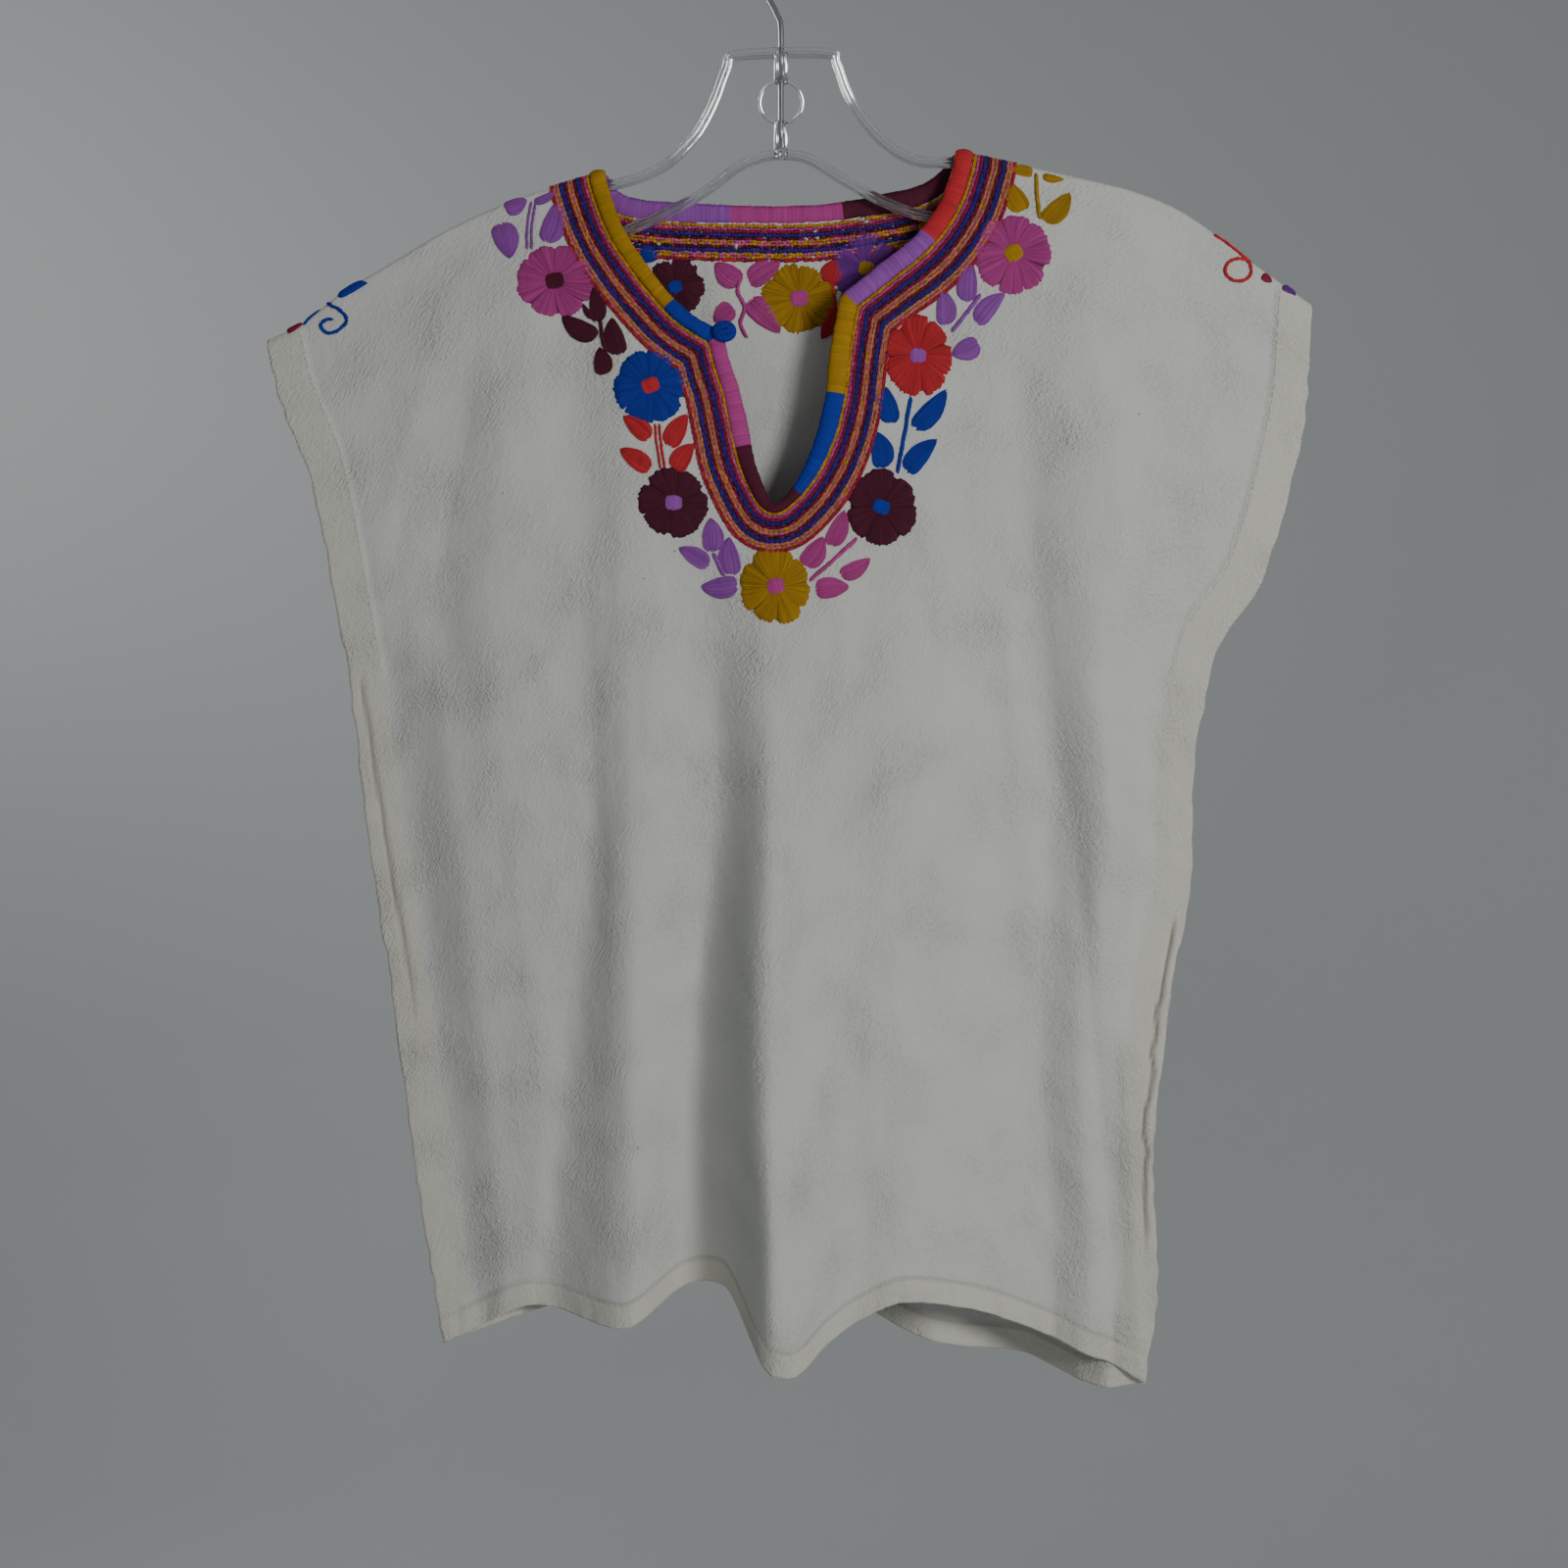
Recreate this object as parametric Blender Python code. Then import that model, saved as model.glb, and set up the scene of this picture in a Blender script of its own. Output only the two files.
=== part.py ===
"""A huipil blouse of cotton cloth with an embroidered neck, hung on a clear plastic hanger.

The origin is the inner top of the hanger's hook, +X is the viewer's right, the front of the
blouse faces -Y and +Z is up. Every size and table below is in millimetres.
"""

import math
from collections import namedtuple

import bmesh
import bpy
from mathutils import Vector
from mathutils.bvhtree import BVHTree
from mathutils.geometry import intersect_point_line

MM = 0.001

# Cloth
CLOTH = 1.5               # wall of the cloth
SEAM_GAP = 0.3            # left between pieces that meet
SEAM_WIDTH = 19.0         # from the free edge to the stitch line, on sleeves and sides
HEM_STEP = 0.8            # how far the doubled edge stands proud
HEM_STEP_WIDTH = 1.6      # over which it drops to the single cloth
ARMHOLE_FOOT = -429.0
COLUMNS = 44
BODY_ROWS = 19

# The fold over the shoulder: a short flat crown, then a quarter round on each side
CROWN_FLAT = 2.2
CROWN_RADIUS = 3.5
CROWN_TURN = 0.5 * math.pi * CROWN_RADIUS
CROWN_STOPS = (0.0, *(CROWN_FLAT + CROWN_TURN * third / 3 for third in range(4)))
CROWN_REACH = 0.5 * SEAM_GAP + CROWN_FLAT + CROWN_RADIUS

# Neck
BINDING_WIDTH = 6.6       # thick stitched edge round the opening
BINDING_BULK = 4.0
BRAID_NEAR = 7.2          # the braided band, from and to these distances from the opening
BRAID_FAR = 32.0
BRAID_BULK = 1.2
NECK_STEP = 6.5           # between the points of the neck's curves
BUTTON_RADIUS = 6.5
BUTTON_BULK = 5.0
BEND_ANGLES = (20, 45, 70, 90)    # degrees, where the binding turns over the crown
SHARPEST_MITRE = 0.7              # least share of its step that a corner keeps

# Hanger
RAIL_HEIGHT = 5.0
RAIL_DEPTH = 7.0
RAIL_SEAT = 0.55          # between the cloth's inside and the rail's top
WIRE_RADIUS = 1.5
SOCKET_RADIUS = 3.9
BORE_RADIUS = 1.95
HOOK_RADIUS = 20.9        # to the middle of the wire
LOOP_STATIONS = 84
HOOK_STATIONS = 40
RING_STATIONS = 24

# Guides
CUTTER_REACH = 60.0       # to the front and back of the garment
CUTTER_RISE = 40.0        # past the shoulder fold
SLOPE_STEP = 2.0          # either side of a place where a slope is taken

Point = namedtuple("Point", "x z")
Edge = namedtuple("Edge", "down x")
Hem = namedtuple("Hem", "across z")
Side = namedtuple("Side", "z open forward")
Fold = namedtuple("Fold", "name place depth")

# The shoulder fold from sleeve tip to sleeve tip
SHOULDER = (
    Point(-287.1, -240.8), Point(-267.9, -231.5), Point(-245.9, -214.4), Point(-218.4, -197.9),
    Point(-190.9, -181.4), Point(-160.6, -167.0), Point(-122.1, -153.5), Point(-97.4, -147.3),
    Point(97.9, -136.5), Point(125.4, -141.2), Point(166.7, -150.1), Point(194.2, -156.7),
    Point(221.7, -167.7), Point(243.7, -182.4), Point(265.7, -199.0), Point(296.5, -221.0),
)
# The free edges, by the fraction of the way down from the fold to the hem
LEFT_EDGE = (
    Edge(0.0, -287.1), Edge(0.05, -280.5), Edge(0.13, -262.4), Edge(0.21, -252.5), Edge(0.335, -242.0),
    Edge(0.49, -232.1), Edge(0.64, -219.5), Edge(0.835, -204.6), Edge(1.0, -188.7),
)
RIGHT_EDGE = (
    Edge(0.0, 296.5), Edge(0.09, 292.1), Edge(0.17, 282.2), Edge(0.26, 265.7), Edge(0.31, 246.0),
    Edge(0.35, 239.3), Edge(0.44, 230.5), Edge(0.53, 229.0), Edge(0.59, 222.0), Edge(0.67, 213.4),
    Edge(0.8, 206.3), Edge(0.9, 209.0), Edge(1.0, 202.4),
)
# The hems, by the fraction of the way across from left to right
FRONT_HEM = (
    Hem(0.0, -801.8), Hem(0.04, -794.7), Hem(0.13, -779.3), Hem(0.26, -785.3), Hem(0.35, -767.2),
    Hem(0.4, -764.4), Hem(0.47, -800.2), Hem(0.5, -801.8), Hem(0.54, -789.2), Hem(0.585, -778.2),
    Hem(0.65, -768.8), Hem(0.73, -774.9), Hem(0.83, -790.3), Hem(0.965, -814.5), Hem(1.0, -823.3),
)
BACK_HEM = (
    Hem(0.0, -801.8), Hem(0.1, -789.2), Hem(0.25, -776.5), Hem(0.4, -767.2), Hem(0.5, -774.3),
    Hem(0.6, -789.2), Hem(0.7, -804.0), Hem(0.83, -816.7), Hem(0.95, -826.0), Hem(1.0, -823.3),
)
# The armhole and side seam: how far each free edge stands off the other, and how far both swing forward
LEFT_SIDE = (
    Side(-241.0, 5.9, 0), Side(-297.0, 10.5, 0), Side(-353.0, 12.5, 0), Side(-398.0, 8.0, 0),
    Side(ARMHOLE_FOOT, 1.65, 0), Side(-577.0, 1.65, -3), Side(-802.0, 1.65, 2),
)
RIGHT_SIDE = (
    Side(-221.0, 5.9, 0), Side(-281.0, 10.5, 0), Side(-341.0, 12.5, 0), Side(-390.0, 8.0, 0),
    Side(-423.0, 1.65, 0), Side(-522.0, 1.65, 4), Side(-673.0, 1.65, 14), Side(-823.0, 1.65, 8),
)
# The folds, each at the six levels: where it lies across, and how far out from the middle
LEVELS = (0.1, 0.2, 0.34, 0.5, 0.75, 1.0)
FRONT_FOLDS = (
    Fold("sleeve trough", (0.13, 0.1, 0.085, 0.09, 0.095, 0.085), (12, 13, 12, 17, 16, 13)),
    Fold("arm crest", (0.21, 0.19, 0.15, 0.15, 0.15, 0.11), (16, 19, 20, 20, 15, 11)),
    Fold("left trough", (0.26, 0.26, 0.268, 0.265, 0.22, 0.14), (13, 14, 15, 14, 11, 9)),
    Fold("left crest", (0.31, 0.315, 0.325, 0.325, 0.31, 0.27), (15, 18, 21, 25, 31, 38)),
    Fold("centre trough", (0.4, 0.41, 0.42, 0.42, 0.395, 0.365), (14, 16, 18, 17, 12, 9)),
    Fold("centre crest", (0.5, 0.495, 0.49, 0.488, 0.485, 0.48), (14, 16, 22, 37, 57, 70)),
    Fold("centre fall", (0.6, 0.6, 0.62, 0.62, 0.61, 0.6), (14, 16, 21, 31, 44, 50)),
    Fold("right trough", (0.7, 0.715, 0.775, 0.815, 0.845, 0.86), (13, 14, 14, 13, 12, 11)),
    Fold("right crest", (0.78, 0.8, 0.855, 0.885, 0.905, 0.915), (17, 21, 25, 27, 24, 19)),
)
BACK_FOLDS = (
    Fold("left trough", (0.12, 0.11, 0.1, 0.12, 0.14, 0.15), (12, 12, 13, 13, 12, 11)),
    Fold("left crest", (0.22, 0.22, 0.23, 0.24, 0.25, 0.26), (15, 18, 22, 27, 35, 42)),
    Fold("middle trough", (0.36, 0.36, 0.37, 0.37, 0.38, 0.38), (13, 14, 15, 14, 12, 11)),
    Fold("middle crest", (0.5, 0.5, 0.51, 0.52, 0.53, 0.54), (14, 17, 21, 27, 38, 48)),
    Fold("right trough", (0.66, 0.66, 0.68, 0.68, 0.69, 0.7), (13, 13, 14, 13, 11, 10)),
    Fold("right crest", (0.8, 0.8, 0.82, 0.82, 0.83, 0.84), (16, 19, 22, 27, 32, 36)),
)

# The neck opening: the left edge, the slit with its round foot, the right edge, and the back
NECK_LEFT = (Point(-99.0, -147.3), Point(-86.4, -181.4), Point(-57.8, -219.4), Point(-33.0, -236.4))
NECK_SLIT = (
    Point(-33.0, -236.4), Point(-27.3, -269.4), Point(-21.5, -302.4), Point(-14.9, -321.6),
    Point(-4.4, -331.6), Point(8.2, -328.8), Point(18.2, -305.2), Point(28.1, -273.8), Point(38.5, -213.9),
)
NECK_RIGHT = (
    Point(38.5, -213.9), Point(56.7, -196.8), Point(75.9, -181.4), Point(89.7, -162.2), Point(97.9, -137.4),
)
NECK_BACK = (
    Point(-99.0, -147.3), Point(-91.9, -158.3), Point(-78.1, -163.2), Point(-53.4, -164.9), Point(1.7, -166.0),
    Point(34.7, -163.8), Point(73.2, -156.7), Point(88.6, -148.4), Point(97.9, -137.4),
)
BUTTON_PLACE = Point(-32.0, -236.5)

# The hanger's rails between the places where they go under the cloth, left to right
RAIL_NECK = (
    Point(-89.7, -152.2), Point(-66.0, -142.9), Point(-49.5, -127.5), Point(-42.9, -117.6),
    Point(-36.9, -105.0), Point(-30.3, -87.3), Point(-24.5, -80.5), Point(25.0, -79.3), Point(30.6, -84.5),
    Point(36.3, -100.0), Point(44.0, -113.8), Point(54.5, -126.4), Point(66.6, -135.8), Point(80.2, -140.6),
)
BAR_NECK = (
    Point(-84.7, -178.1), Point(-59.4, -166.6), Point(-40.7, -155.6), Point(-27.0, -145.1),
    Point(-16.5, -139.6), Point(-3.9, -136.3), Point(13.8, -138.0), Point(29.2, -146.8), Point(47.9, -157.8),
    Point(66.6, -166.6), Point(82.0, -170.8),
)
ARM_LEFT = (-211.0, -180.0, -140.0, -108.0)      # where the rail is seated under the shoulder
ARM_RIGHT = (98.0, 130.0, 170.0, 211.0)
TIP_LEFT = (Point(-216.0, -204.0), Point(-211.0, -208.0))
TIP_RIGHT = (Point(216.5, -172.5), Point(212.0, -177.5))
BAR_LEFT = (Point(-175.0, -202.0), Point(-130.0, -192.0))
BAR_RIGHT = (Point(125.0, -176.0), Point(170.0, -179.0))
SOCKETS = ((-96.2, -79.3), (-137.6, -118.0))     # lower and upper end of each
RING_CENTRE = Point(0.0, -107.0)
RING_RADIUS = 12.0
RING_WIRE = 0.9
SHANK = (-133.0, -66.0)                          # the wire's foot, and where it starts to bend


def smooth(at, places, values):
    """Value at a place, on a cubic through the pairs that never overshoots them."""
    if at <= places[0]:
        return values[0]
    if at >= places[-1]:
        return values[-1]
    last = len(places) - 1
    i = max(k for k in range(last) if places[k] <= at)
    rises = [(values[k + 1] - values[k]) / (places[k + 1] - places[k]) for k in range(last)]

    def slope(k):
        if k in (0, last):
            return rises[min(k, last - 1)]
        before, after = rises[k - 1], rises[k]
        return 0.0 if before * after <= 0 else 2 * before * after / (before + after)

    span = places[i + 1] - places[i]
    t = (at - places[i]) / span
    value = (2 * t**3 - 3 * t**2 + 1) * values[i] + (3 * t**2 - 2 * t**3) * values[i + 1]
    return value + span * ((t**3 - 2 * t**2 + t) * slope(i) + (t**3 - t**2) * slope(i + 1))


def column(rows, at, name):
    """Value of the named column of a table, at a place in its first column."""
    ordered = sorted(rows)
    return smooth(at, [row[0] for row in ordered], [getattr(row, name) for row in ordered])


def ease(t):
    """Flat at both ends of 0 to 1."""
    t = min(max(t, 0.0), 1.0)
    return t * t * (3 - 2 * t)


def depth(front, across, down, z, width):
    """How far the cloth stands out from the middle, front or back, in its own direction."""
    folds = FRONT_FOLDS if front else BACK_FOLDS
    way = 1 if front else -1
    strip = SEAM_WIDTH / width
    level = max(down, LEVELS[0])
    lines = [(smooth(level, LEVELS, fold.place), smooth(level, LEVELS, fold.depth)) for fold in folds]
    left, right = (column(side, z, "open") + way * column(side, z, "forward")
                   for side in (LEFT_SIDE, RIGHT_SIDE))
    lines = [(0.0, left), (strip, left)] + lines + [(1 - strip, right), (1.0, right)]
    out = right
    for (start, low), (end, high) in zip(lines, lines[1:]):
        if start <= across < end:
            out = low + (high - low) * ease((across - start) / (end - start))
    return CROWN_REACH + (out - CROWN_REACH) * ease(down / LEVELS[0])


def drape(front, across, run):
    """Point of the cloth's outer face; run counts the crown's stops first, then the body's rows."""
    on_crown = run < len(CROWN_STOPS) - 1
    down = 0.0 if on_crown else (run - len(CROWN_STOPS) + 1) / BODY_ROWS
    left, right = column(LEFT_EDGE, down, "x"), column(RIGHT_EDGE, down, "x")
    x = left + (right - left) * across
    top_x = LEFT_EDGE[0].x + (RIGHT_EDGE[0].x - LEFT_EDGE[0].x) * across
    top = column(SHOULDER, top_x, "z")
    if on_crown:
        turn = max(CROWN_STOPS[run] - CROWN_FLAT, 0.0) / CROWN_RADIUS
        out = 0.5 * SEAM_GAP + min(CROWN_STOPS[run], CROWN_FLAT) + CROWN_RADIUS * math.sin(turn)
        z = top - CROWN_RADIUS * (1 - math.cos(turn))
    else:
        hem = column(FRONT_HEM if front else BACK_HEM, across, "z")
        z = top - CROWN_RADIUS + (hem - top + CROWN_RADIUS) * down
        out = depth(front, across, down, z, right - left)
        in_sleeve_hem = min(across, 1 - across) * (right - left) < SEAM_WIDTH and z > ARMHOLE_FOOT
        out += HEM_STEP if in_sleeve_hem and down > 0 else 0.0
    return Vector((x, -out if front else out, z)) * MM


def column_place(index, run):
    """Fraction across of a column: its edge, a pair at each stitch line, and even steps between."""
    down = max(run - len(CROWN_STOPS) + 1, 0) / BODY_ROWS
    width = column(RIGHT_EDGE, down, "x") - column(LEFT_EDGE, down, "x")
    strip = SEAM_WIDTH / width
    inner = strip + HEM_STEP_WIDTH / width
    if index <= 2:
        return (0.0, 0.999 * strip, inner)[index]
    if index >= COLUMNS - 2:
        return (1.0, 1 - 0.999 * strip, 1 - inner)[COLUMNS - index]
    return inner + (1 - 2 * inner) * (index - 2) / (COLUMNS - 4)


def panel_mesh(name, front, lift=0.0):
    """The draped grid of one half of the cloth, its faces outwards, moved out by lift."""
    rows = BODY_ROWS + len(CROWN_STOPS) - 1
    grid = bmesh.new()
    bmesh.ops.create_grid(grid, x_segments=COLUMNS, y_segments=rows, size=1.0)
    for vertex in grid.verts:
        index = round((vertex.co.x + 1) / 2 * COLUMNS)
        run = round((1 - vertex.co.y) / 2 * rows)
        vertex.co = drape(front, column_place(index, run), run)
    bmesh.ops.triangulate(grid, faces=grid.faces, quad_method="FIXED")
    if not front:
        bmesh.ops.reverse_faces(grid, faces=grid.faces)
    grid.normal_update()
    for vertex, normal in [(vertex, vertex.normal.copy()) for vertex in grid.verts]:
        vertex.co += normal * lift * MM
    mesh = bpy.data.meshes.new(name)
    grid.to_mesh(mesh)
    grid.free()
    return mesh


def material(name, colour, roughness, metallic=0.0, transmission=0.0):
    """A plain surface in one colour."""
    made = bpy.data.materials.new(name)
    made.use_nodes = True
    shader = made.node_tree.nodes["Principled BSDF"]
    shader.inputs["Base Color"].default_value = (*colour, 1.0)
    shader.inputs["Roughness"].default_value = roughness
    shader.inputs["Metallic"].default_value = metallic
    shader.inputs["Transmission Weight"].default_value = transmission
    return made


def add(name, mesh, finish):
    """Put a mesh into the scene under its own name, shaded smooth."""
    mesh.materials.append(finish)
    mesh.shade_smooth()
    mesh.set_sharp_from_angle(angle=math.radians(40))
    made = bpy.data.objects.new(name, mesh)
    bpy.context.scene.collection.objects.link(made)
    return made


def thicken(target, bulk, outwards):
    """Give a sheet its wall, towards the outside or the inside."""
    wall = target.modifiers.new("wall", "SOLIDIFY")
    wall.thickness = bulk * MM
    wall.offset = 1.0 if outwards else -1.0
    wall.use_even_offset = True


def cut(target, cutter, operation):
    """Cut a piece by another, exactly."""
    step = target.modifiers.new("shape", "BOOLEAN")
    step.operation = operation
    step.object = cutter
    step.solver = "EXACT"


def run_through(points, count):
    """Points at even steps along a smooth curve through the given ones."""
    lengths = [0.0]
    for a, b in zip(points, points[1:]):
        lengths.append(lengths[-1] + math.dist(a, b))
    made = []
    for k in range(count + 1):
        at = lengths[-1] * k / count
        i = min(max(j for j, length in enumerate(lengths) if length <= at + 1e-9), len(points) - 2)
        t = (at - lengths[i]) / (lengths[i + 1] - lengths[i])
        before, after = points[max(i - 1, 0)], points[min(i + 2, len(points) - 1)]
        made.append(Point(*(0.5 * (2 * q + (r - p) * t + (2 * p - 5 * q + 4 * r - s) * t * t
                                   + (3 * q - p - 3 * r + s) * t**3)
                            for p, q, r, s in zip(before, points[i], points[i + 1], after))))
    return made


def neck_line(front):
    """The opening's edge from the left shoulder to the right one."""
    runs = (NECK_LEFT, NECK_SLIT, NECK_RIGHT) if front else (NECK_BACK,)
    line = [runs[0][0]]
    for run in runs:
        length = sum(math.dist(a, b) for a, b in zip(run, run[1:]))
        line += run_through(run, round(length / NECK_STEP))[1:]
    return line


def offset(line, distance):
    """The line moved into the cloth by a distance, mitred at its corners."""
    corners = [Vector(point) for point in line]
    made = []
    for i, here in enumerate(corners):
        sides = []
        for a, b in ((max(i - 1, 0), max(i, 1)), (min(i, len(line) - 2), min(i + 1, len(line) - 1))):
            along = corners[b] - corners[a]
            sides.append(Vector((along.y, -along.x)).normalized())
        middle = (sides[0] + sides[1]).normalized()
        moved = here + middle * distance / middle.dot(sides[0])
        gaps = []
        for a, b in zip(corners, corners[1:]):
            nearest, part = intersect_point_line(moved, a, b)
            gaps.append((moved - (a if part < 0 else b if part > 1 else nearest.to_2d())).length)
        apart = not made or math.dist(made[-1], moved) > 0.5 * NECK_STEP
        if min(gaps) > 0.998 * distance and apart:
            made.append(Point(*moved))
    return made


def prism(name, outline):
    """A cutter: an outline in the front view, drawn right through the garment."""
    block = bmesh.new()
    face = block.faces.new([block.verts.new(Vector((p.x, -CUTTER_REACH, p.z)) * MM) for p in outline])
    pushed = bmesh.ops.extrude_face_region(block, geom=[face])
    corners = [item for item in pushed["geom"] if isinstance(item, bmesh.types.BMVert)]
    bmesh.ops.translate(block, verts=corners, vec=Vector((0, 2 * CUTTER_REACH, 0)) * MM)
    bmesh.ops.recalc_face_normals(block, faces=block.faces)
    mesh = bpy.data.meshes.new(name)
    block.to_mesh(mesh)
    block.free()
    cutter = bpy.data.objects.new(name, mesh)
    bpy.context.scene.collection.objects.link(cutter)
    cutter.hide_render = True
    cutter.display_type = "WIRE"
    return cutter


def above(line):
    """The line with each end carried up past the shoulder fold."""
    first, last = line[0], line[-1]
    return [Point(first.x, first.z + CUTTER_RISE), *line, Point(last.x, last.z + CUTTER_RISE)]


def sweep(name, stations, closed, half_width, half_bulk, finish, sides=8):
    """A roll with a flat oval section along stations of (middle, side, out)."""
    roll = bmesh.new()
    rings = []
    for middle, side, out in stations:
        ring = []
        for k in range(sides):
            angle = 2 * math.pi * (k + 0.5) / sides
            reach = 1 / math.cos(math.pi / sides)
            ring.append(roll.verts.new((middle + side * half_width * reach * math.cos(angle)
                                        + out * half_bulk * reach * math.sin(angle)) * MM))
        rings.append(ring)
    pairs = list(zip(rings, rings[1:])) + ([(rings[-1], rings[0])] if closed else [])
    for near, far in pairs:
        for k in range(sides):
            roll.faces.new((near[k], near[(k + 1) % sides], far[(k + 1) % sides], far[k]))
    if not closed:
        roll.faces.new(rings[0])
        roll.faces.new(rings[-1])
    bmesh.ops.recalc_face_normals(roll, faces=roll.faces)
    mesh = bpy.data.meshes.new(name)
    roll.to_mesh(mesh)
    roll.free()
    return add(name, mesh, finish)


def make_cloth(front, finish):
    """One half of the cloth, with the neck cut out clear of the binding."""
    name = "front" if front else "back"
    sheet = add(name, panel_mesh(name, front), finish)
    thicken(sheet, CLOTH, outwards=False)
    opening = prism(name + "_neck_cutter", above(offset(neck_line(front), BINDING_WIDTH + SEAM_GAP)))
    cut(sheet, opening, "DIFFERENCE")
    return sheet


def make_braid(front, finish):
    """The braided band, which lies on the cloth from the fold round the opening."""
    name = "neck_braid_front" if front else "neck_braid_back"
    band = add(name, panel_mesh(name, front, lift=SEAM_GAP), finish)
    thicken(band, BRAID_BULK, outwards=True)
    line = neck_line(front)
    outline = above(offset(line, BRAID_FAR)) + above(offset(line, BRAID_NEAR))[::-1]
    cut(band, prism(name + "_cutter", outline), "INTERSECT")
    return band


def make_binding(front, finish):
    """The thick stitched edge, along the opening and over the crown of the fold at each end."""
    name = "neck_binding_front" if front else "neck_binding_back"
    way = -1 if front else 1
    shape = bmesh.new()
    shape.from_mesh(panel_mesh(name + "_guide", front))
    tree = BVHTree.FromBMesh(shape)
    shape.free()
    half_width, half_bulk = BINDING_WIDTH / 2, BINDING_BULK / 2
    proud = half_bulk - CLOTH
    line = offset(neck_line(front), half_width)
    stations = []
    for i, here in enumerate(line):
        top = column(SHOULDER, here.x, "z")
        if here.z > top - CROWN_RADIUS - CROWN_FLAT:
            continue
        hit = tree.ray_cast(Vector((here.x, CUTTER_REACH * 2 * way, here.z)) * MM, Vector((0, -way, 0)))[0]
        along = Vector(line[min(i + 1, len(line) - 1)]) - Vector(line[max(i - 1, 0)])
        before = (Vector(here) - Vector(line[i - 1])).normalized() if i else along.normalized()
        mitre = max(before.dot(along.normalized()), SHARPEST_MITRE)
        side = Vector((along.y, 0, -along.x)).normalized() / mitre
        stations.append((Vector((here.x, hit.y / MM + proud * way, here.z)), side, Vector((0, way, 0))))
    for end in (0, -1):
        middle, side, _ = stations[end]
        top = column(SHOULDER, middle.x, "z")
        side = Vector((math.copysign(1, side.x), 0, 0))
        turn = CROWN_RADIUS + proud
        bend = []
        for angle in BEND_ANGLES:
            lean = math.radians(angle)
            reach = CROWN_REACH - CROWN_RADIUS + turn * math.cos(lean)
            bend.append((Vector((middle.x, way * reach, top - CROWN_RADIUS + turn * math.sin(lean))), side,
                         Vector((0, way * math.cos(lean), math.sin(lean)))))
        bend.append((Vector((middle.x, way * 0.5 * SEAM_GAP, top + proud)), side, Vector((0, 0, 1))))
        stations = bend[::-1] + stations if end == 0 else stations + bend
    return sweep(name, stations, False, half_width, half_bulk, finish)


def make_button(finish):
    """The thread-wound button: a low dome on the binding at the slit's left corner."""
    dome = bmesh.new()
    bmesh.ops.create_uvsphere(dome, u_segments=16, v_segments=8, radius=1.0)
    for vertex in dome.verts:
        x, y, z = vertex.co
        turned = Vector((x * BUTTON_RADIUS, -z * BUTTON_BULK / 2, y * BUTTON_RADIUS))
        vertex.co = (turned + Vector((BUTTON_PLACE.x, button_plane(), BUTTON_PLACE.z))) * MM
    mesh = bpy.data.meshes.new("neck_button")
    dome.to_mesh(mesh)
    dome.free()
    return add("neck_button", mesh, finish)


def button_plane():
    """Where the button's middle lies, so that its back rests on the binding."""
    binding = bpy.data.objects["neck_binding_front"].data
    near = [v.co for v in binding.vertices
            if math.dist((v.co.x / MM, v.co.z / MM), BUTTON_PLACE) < BUTTON_RADIUS]
    return min(co.y for co in near) / MM - SEAM_GAP - BUTTON_BULK / 2


def rail_line():
    """The hanger's whole loop: upper rail left to right, then the lower bar right to left."""
    def seated(x):
        ahead, behind = column(SHOULDER, x + SLOPE_STEP, "z"), column(SHOULDER, x - SLOPE_STEP, "z")
        slope = (ahead - behind) / (2 * SLOPE_STEP)
        drop = CLOTH * math.hypot(1, slope) + RAIL_SEAT + RAIL_HEIGHT / 2
        return Point(x, column(SHOULDER, x, "z") - drop)

    upper = [seated(x) for x in ARM_LEFT] + list(RAIL_NECK) + [seated(x) for x in ARM_RIGHT]
    lower = list(BAR_LEFT) + list(BAR_NECK) + list(BAR_RIGHT)
    loop = upper + list(TIP_RIGHT) + lower[::-1] + list(reversed(TIP_LEFT))
    return loop


def make_hanger(finish):
    """The clear hanger: its loop of rail, two sockets on the neck, and the ring between them."""
    loop = rail_line()
    line = run_through(loop + loop[:1], LOOP_STATIONS)[:-1]
    stations = []
    for i, here in enumerate(line):
        along = (Vector(line[(i + 1) % len(line)]) - Vector(line[i - 1])).normalized()
        stations.append((Vector((here.x, 0, here.z)), Vector((along.y, 0, -along.x)), Vector((0, 1, 0))))
    frame = sweep("hanger_frame", stations, True, RAIL_HEIGHT / 2, RAIL_DEPTH / 2, finish)
    for k, (low, high) in enumerate(sorted(SOCKETS)):
        cut(frame, tube(f"socket_{k}", SOCKET_RADIUS, low, high), "UNION")
    round_stations = []
    for k in range(RING_STATIONS):
        turn = 2 * math.pi * k / RING_STATIONS
        side = Vector((math.cos(turn), 0, math.sin(turn)))
        middle = Vector((RING_CENTRE.x, 0, RING_CENTRE.z)) + side * RING_RADIUS
        round_stations.append((middle, side, Vector((0, 1, 0))))
    ring = sweep("ring_shape", round_stations, True, RING_WIRE, RING_WIRE, finish, sides=6)
    ring.hide_render = True
    ring.display_type = "WIRE"
    cut(frame, ring, "UNION")
    cut(frame, tube("bore", BORE_RADIUS, SHANK[0] - SEAM_GAP, SHANK[1]), "DIFFERENCE")
    return frame


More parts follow.
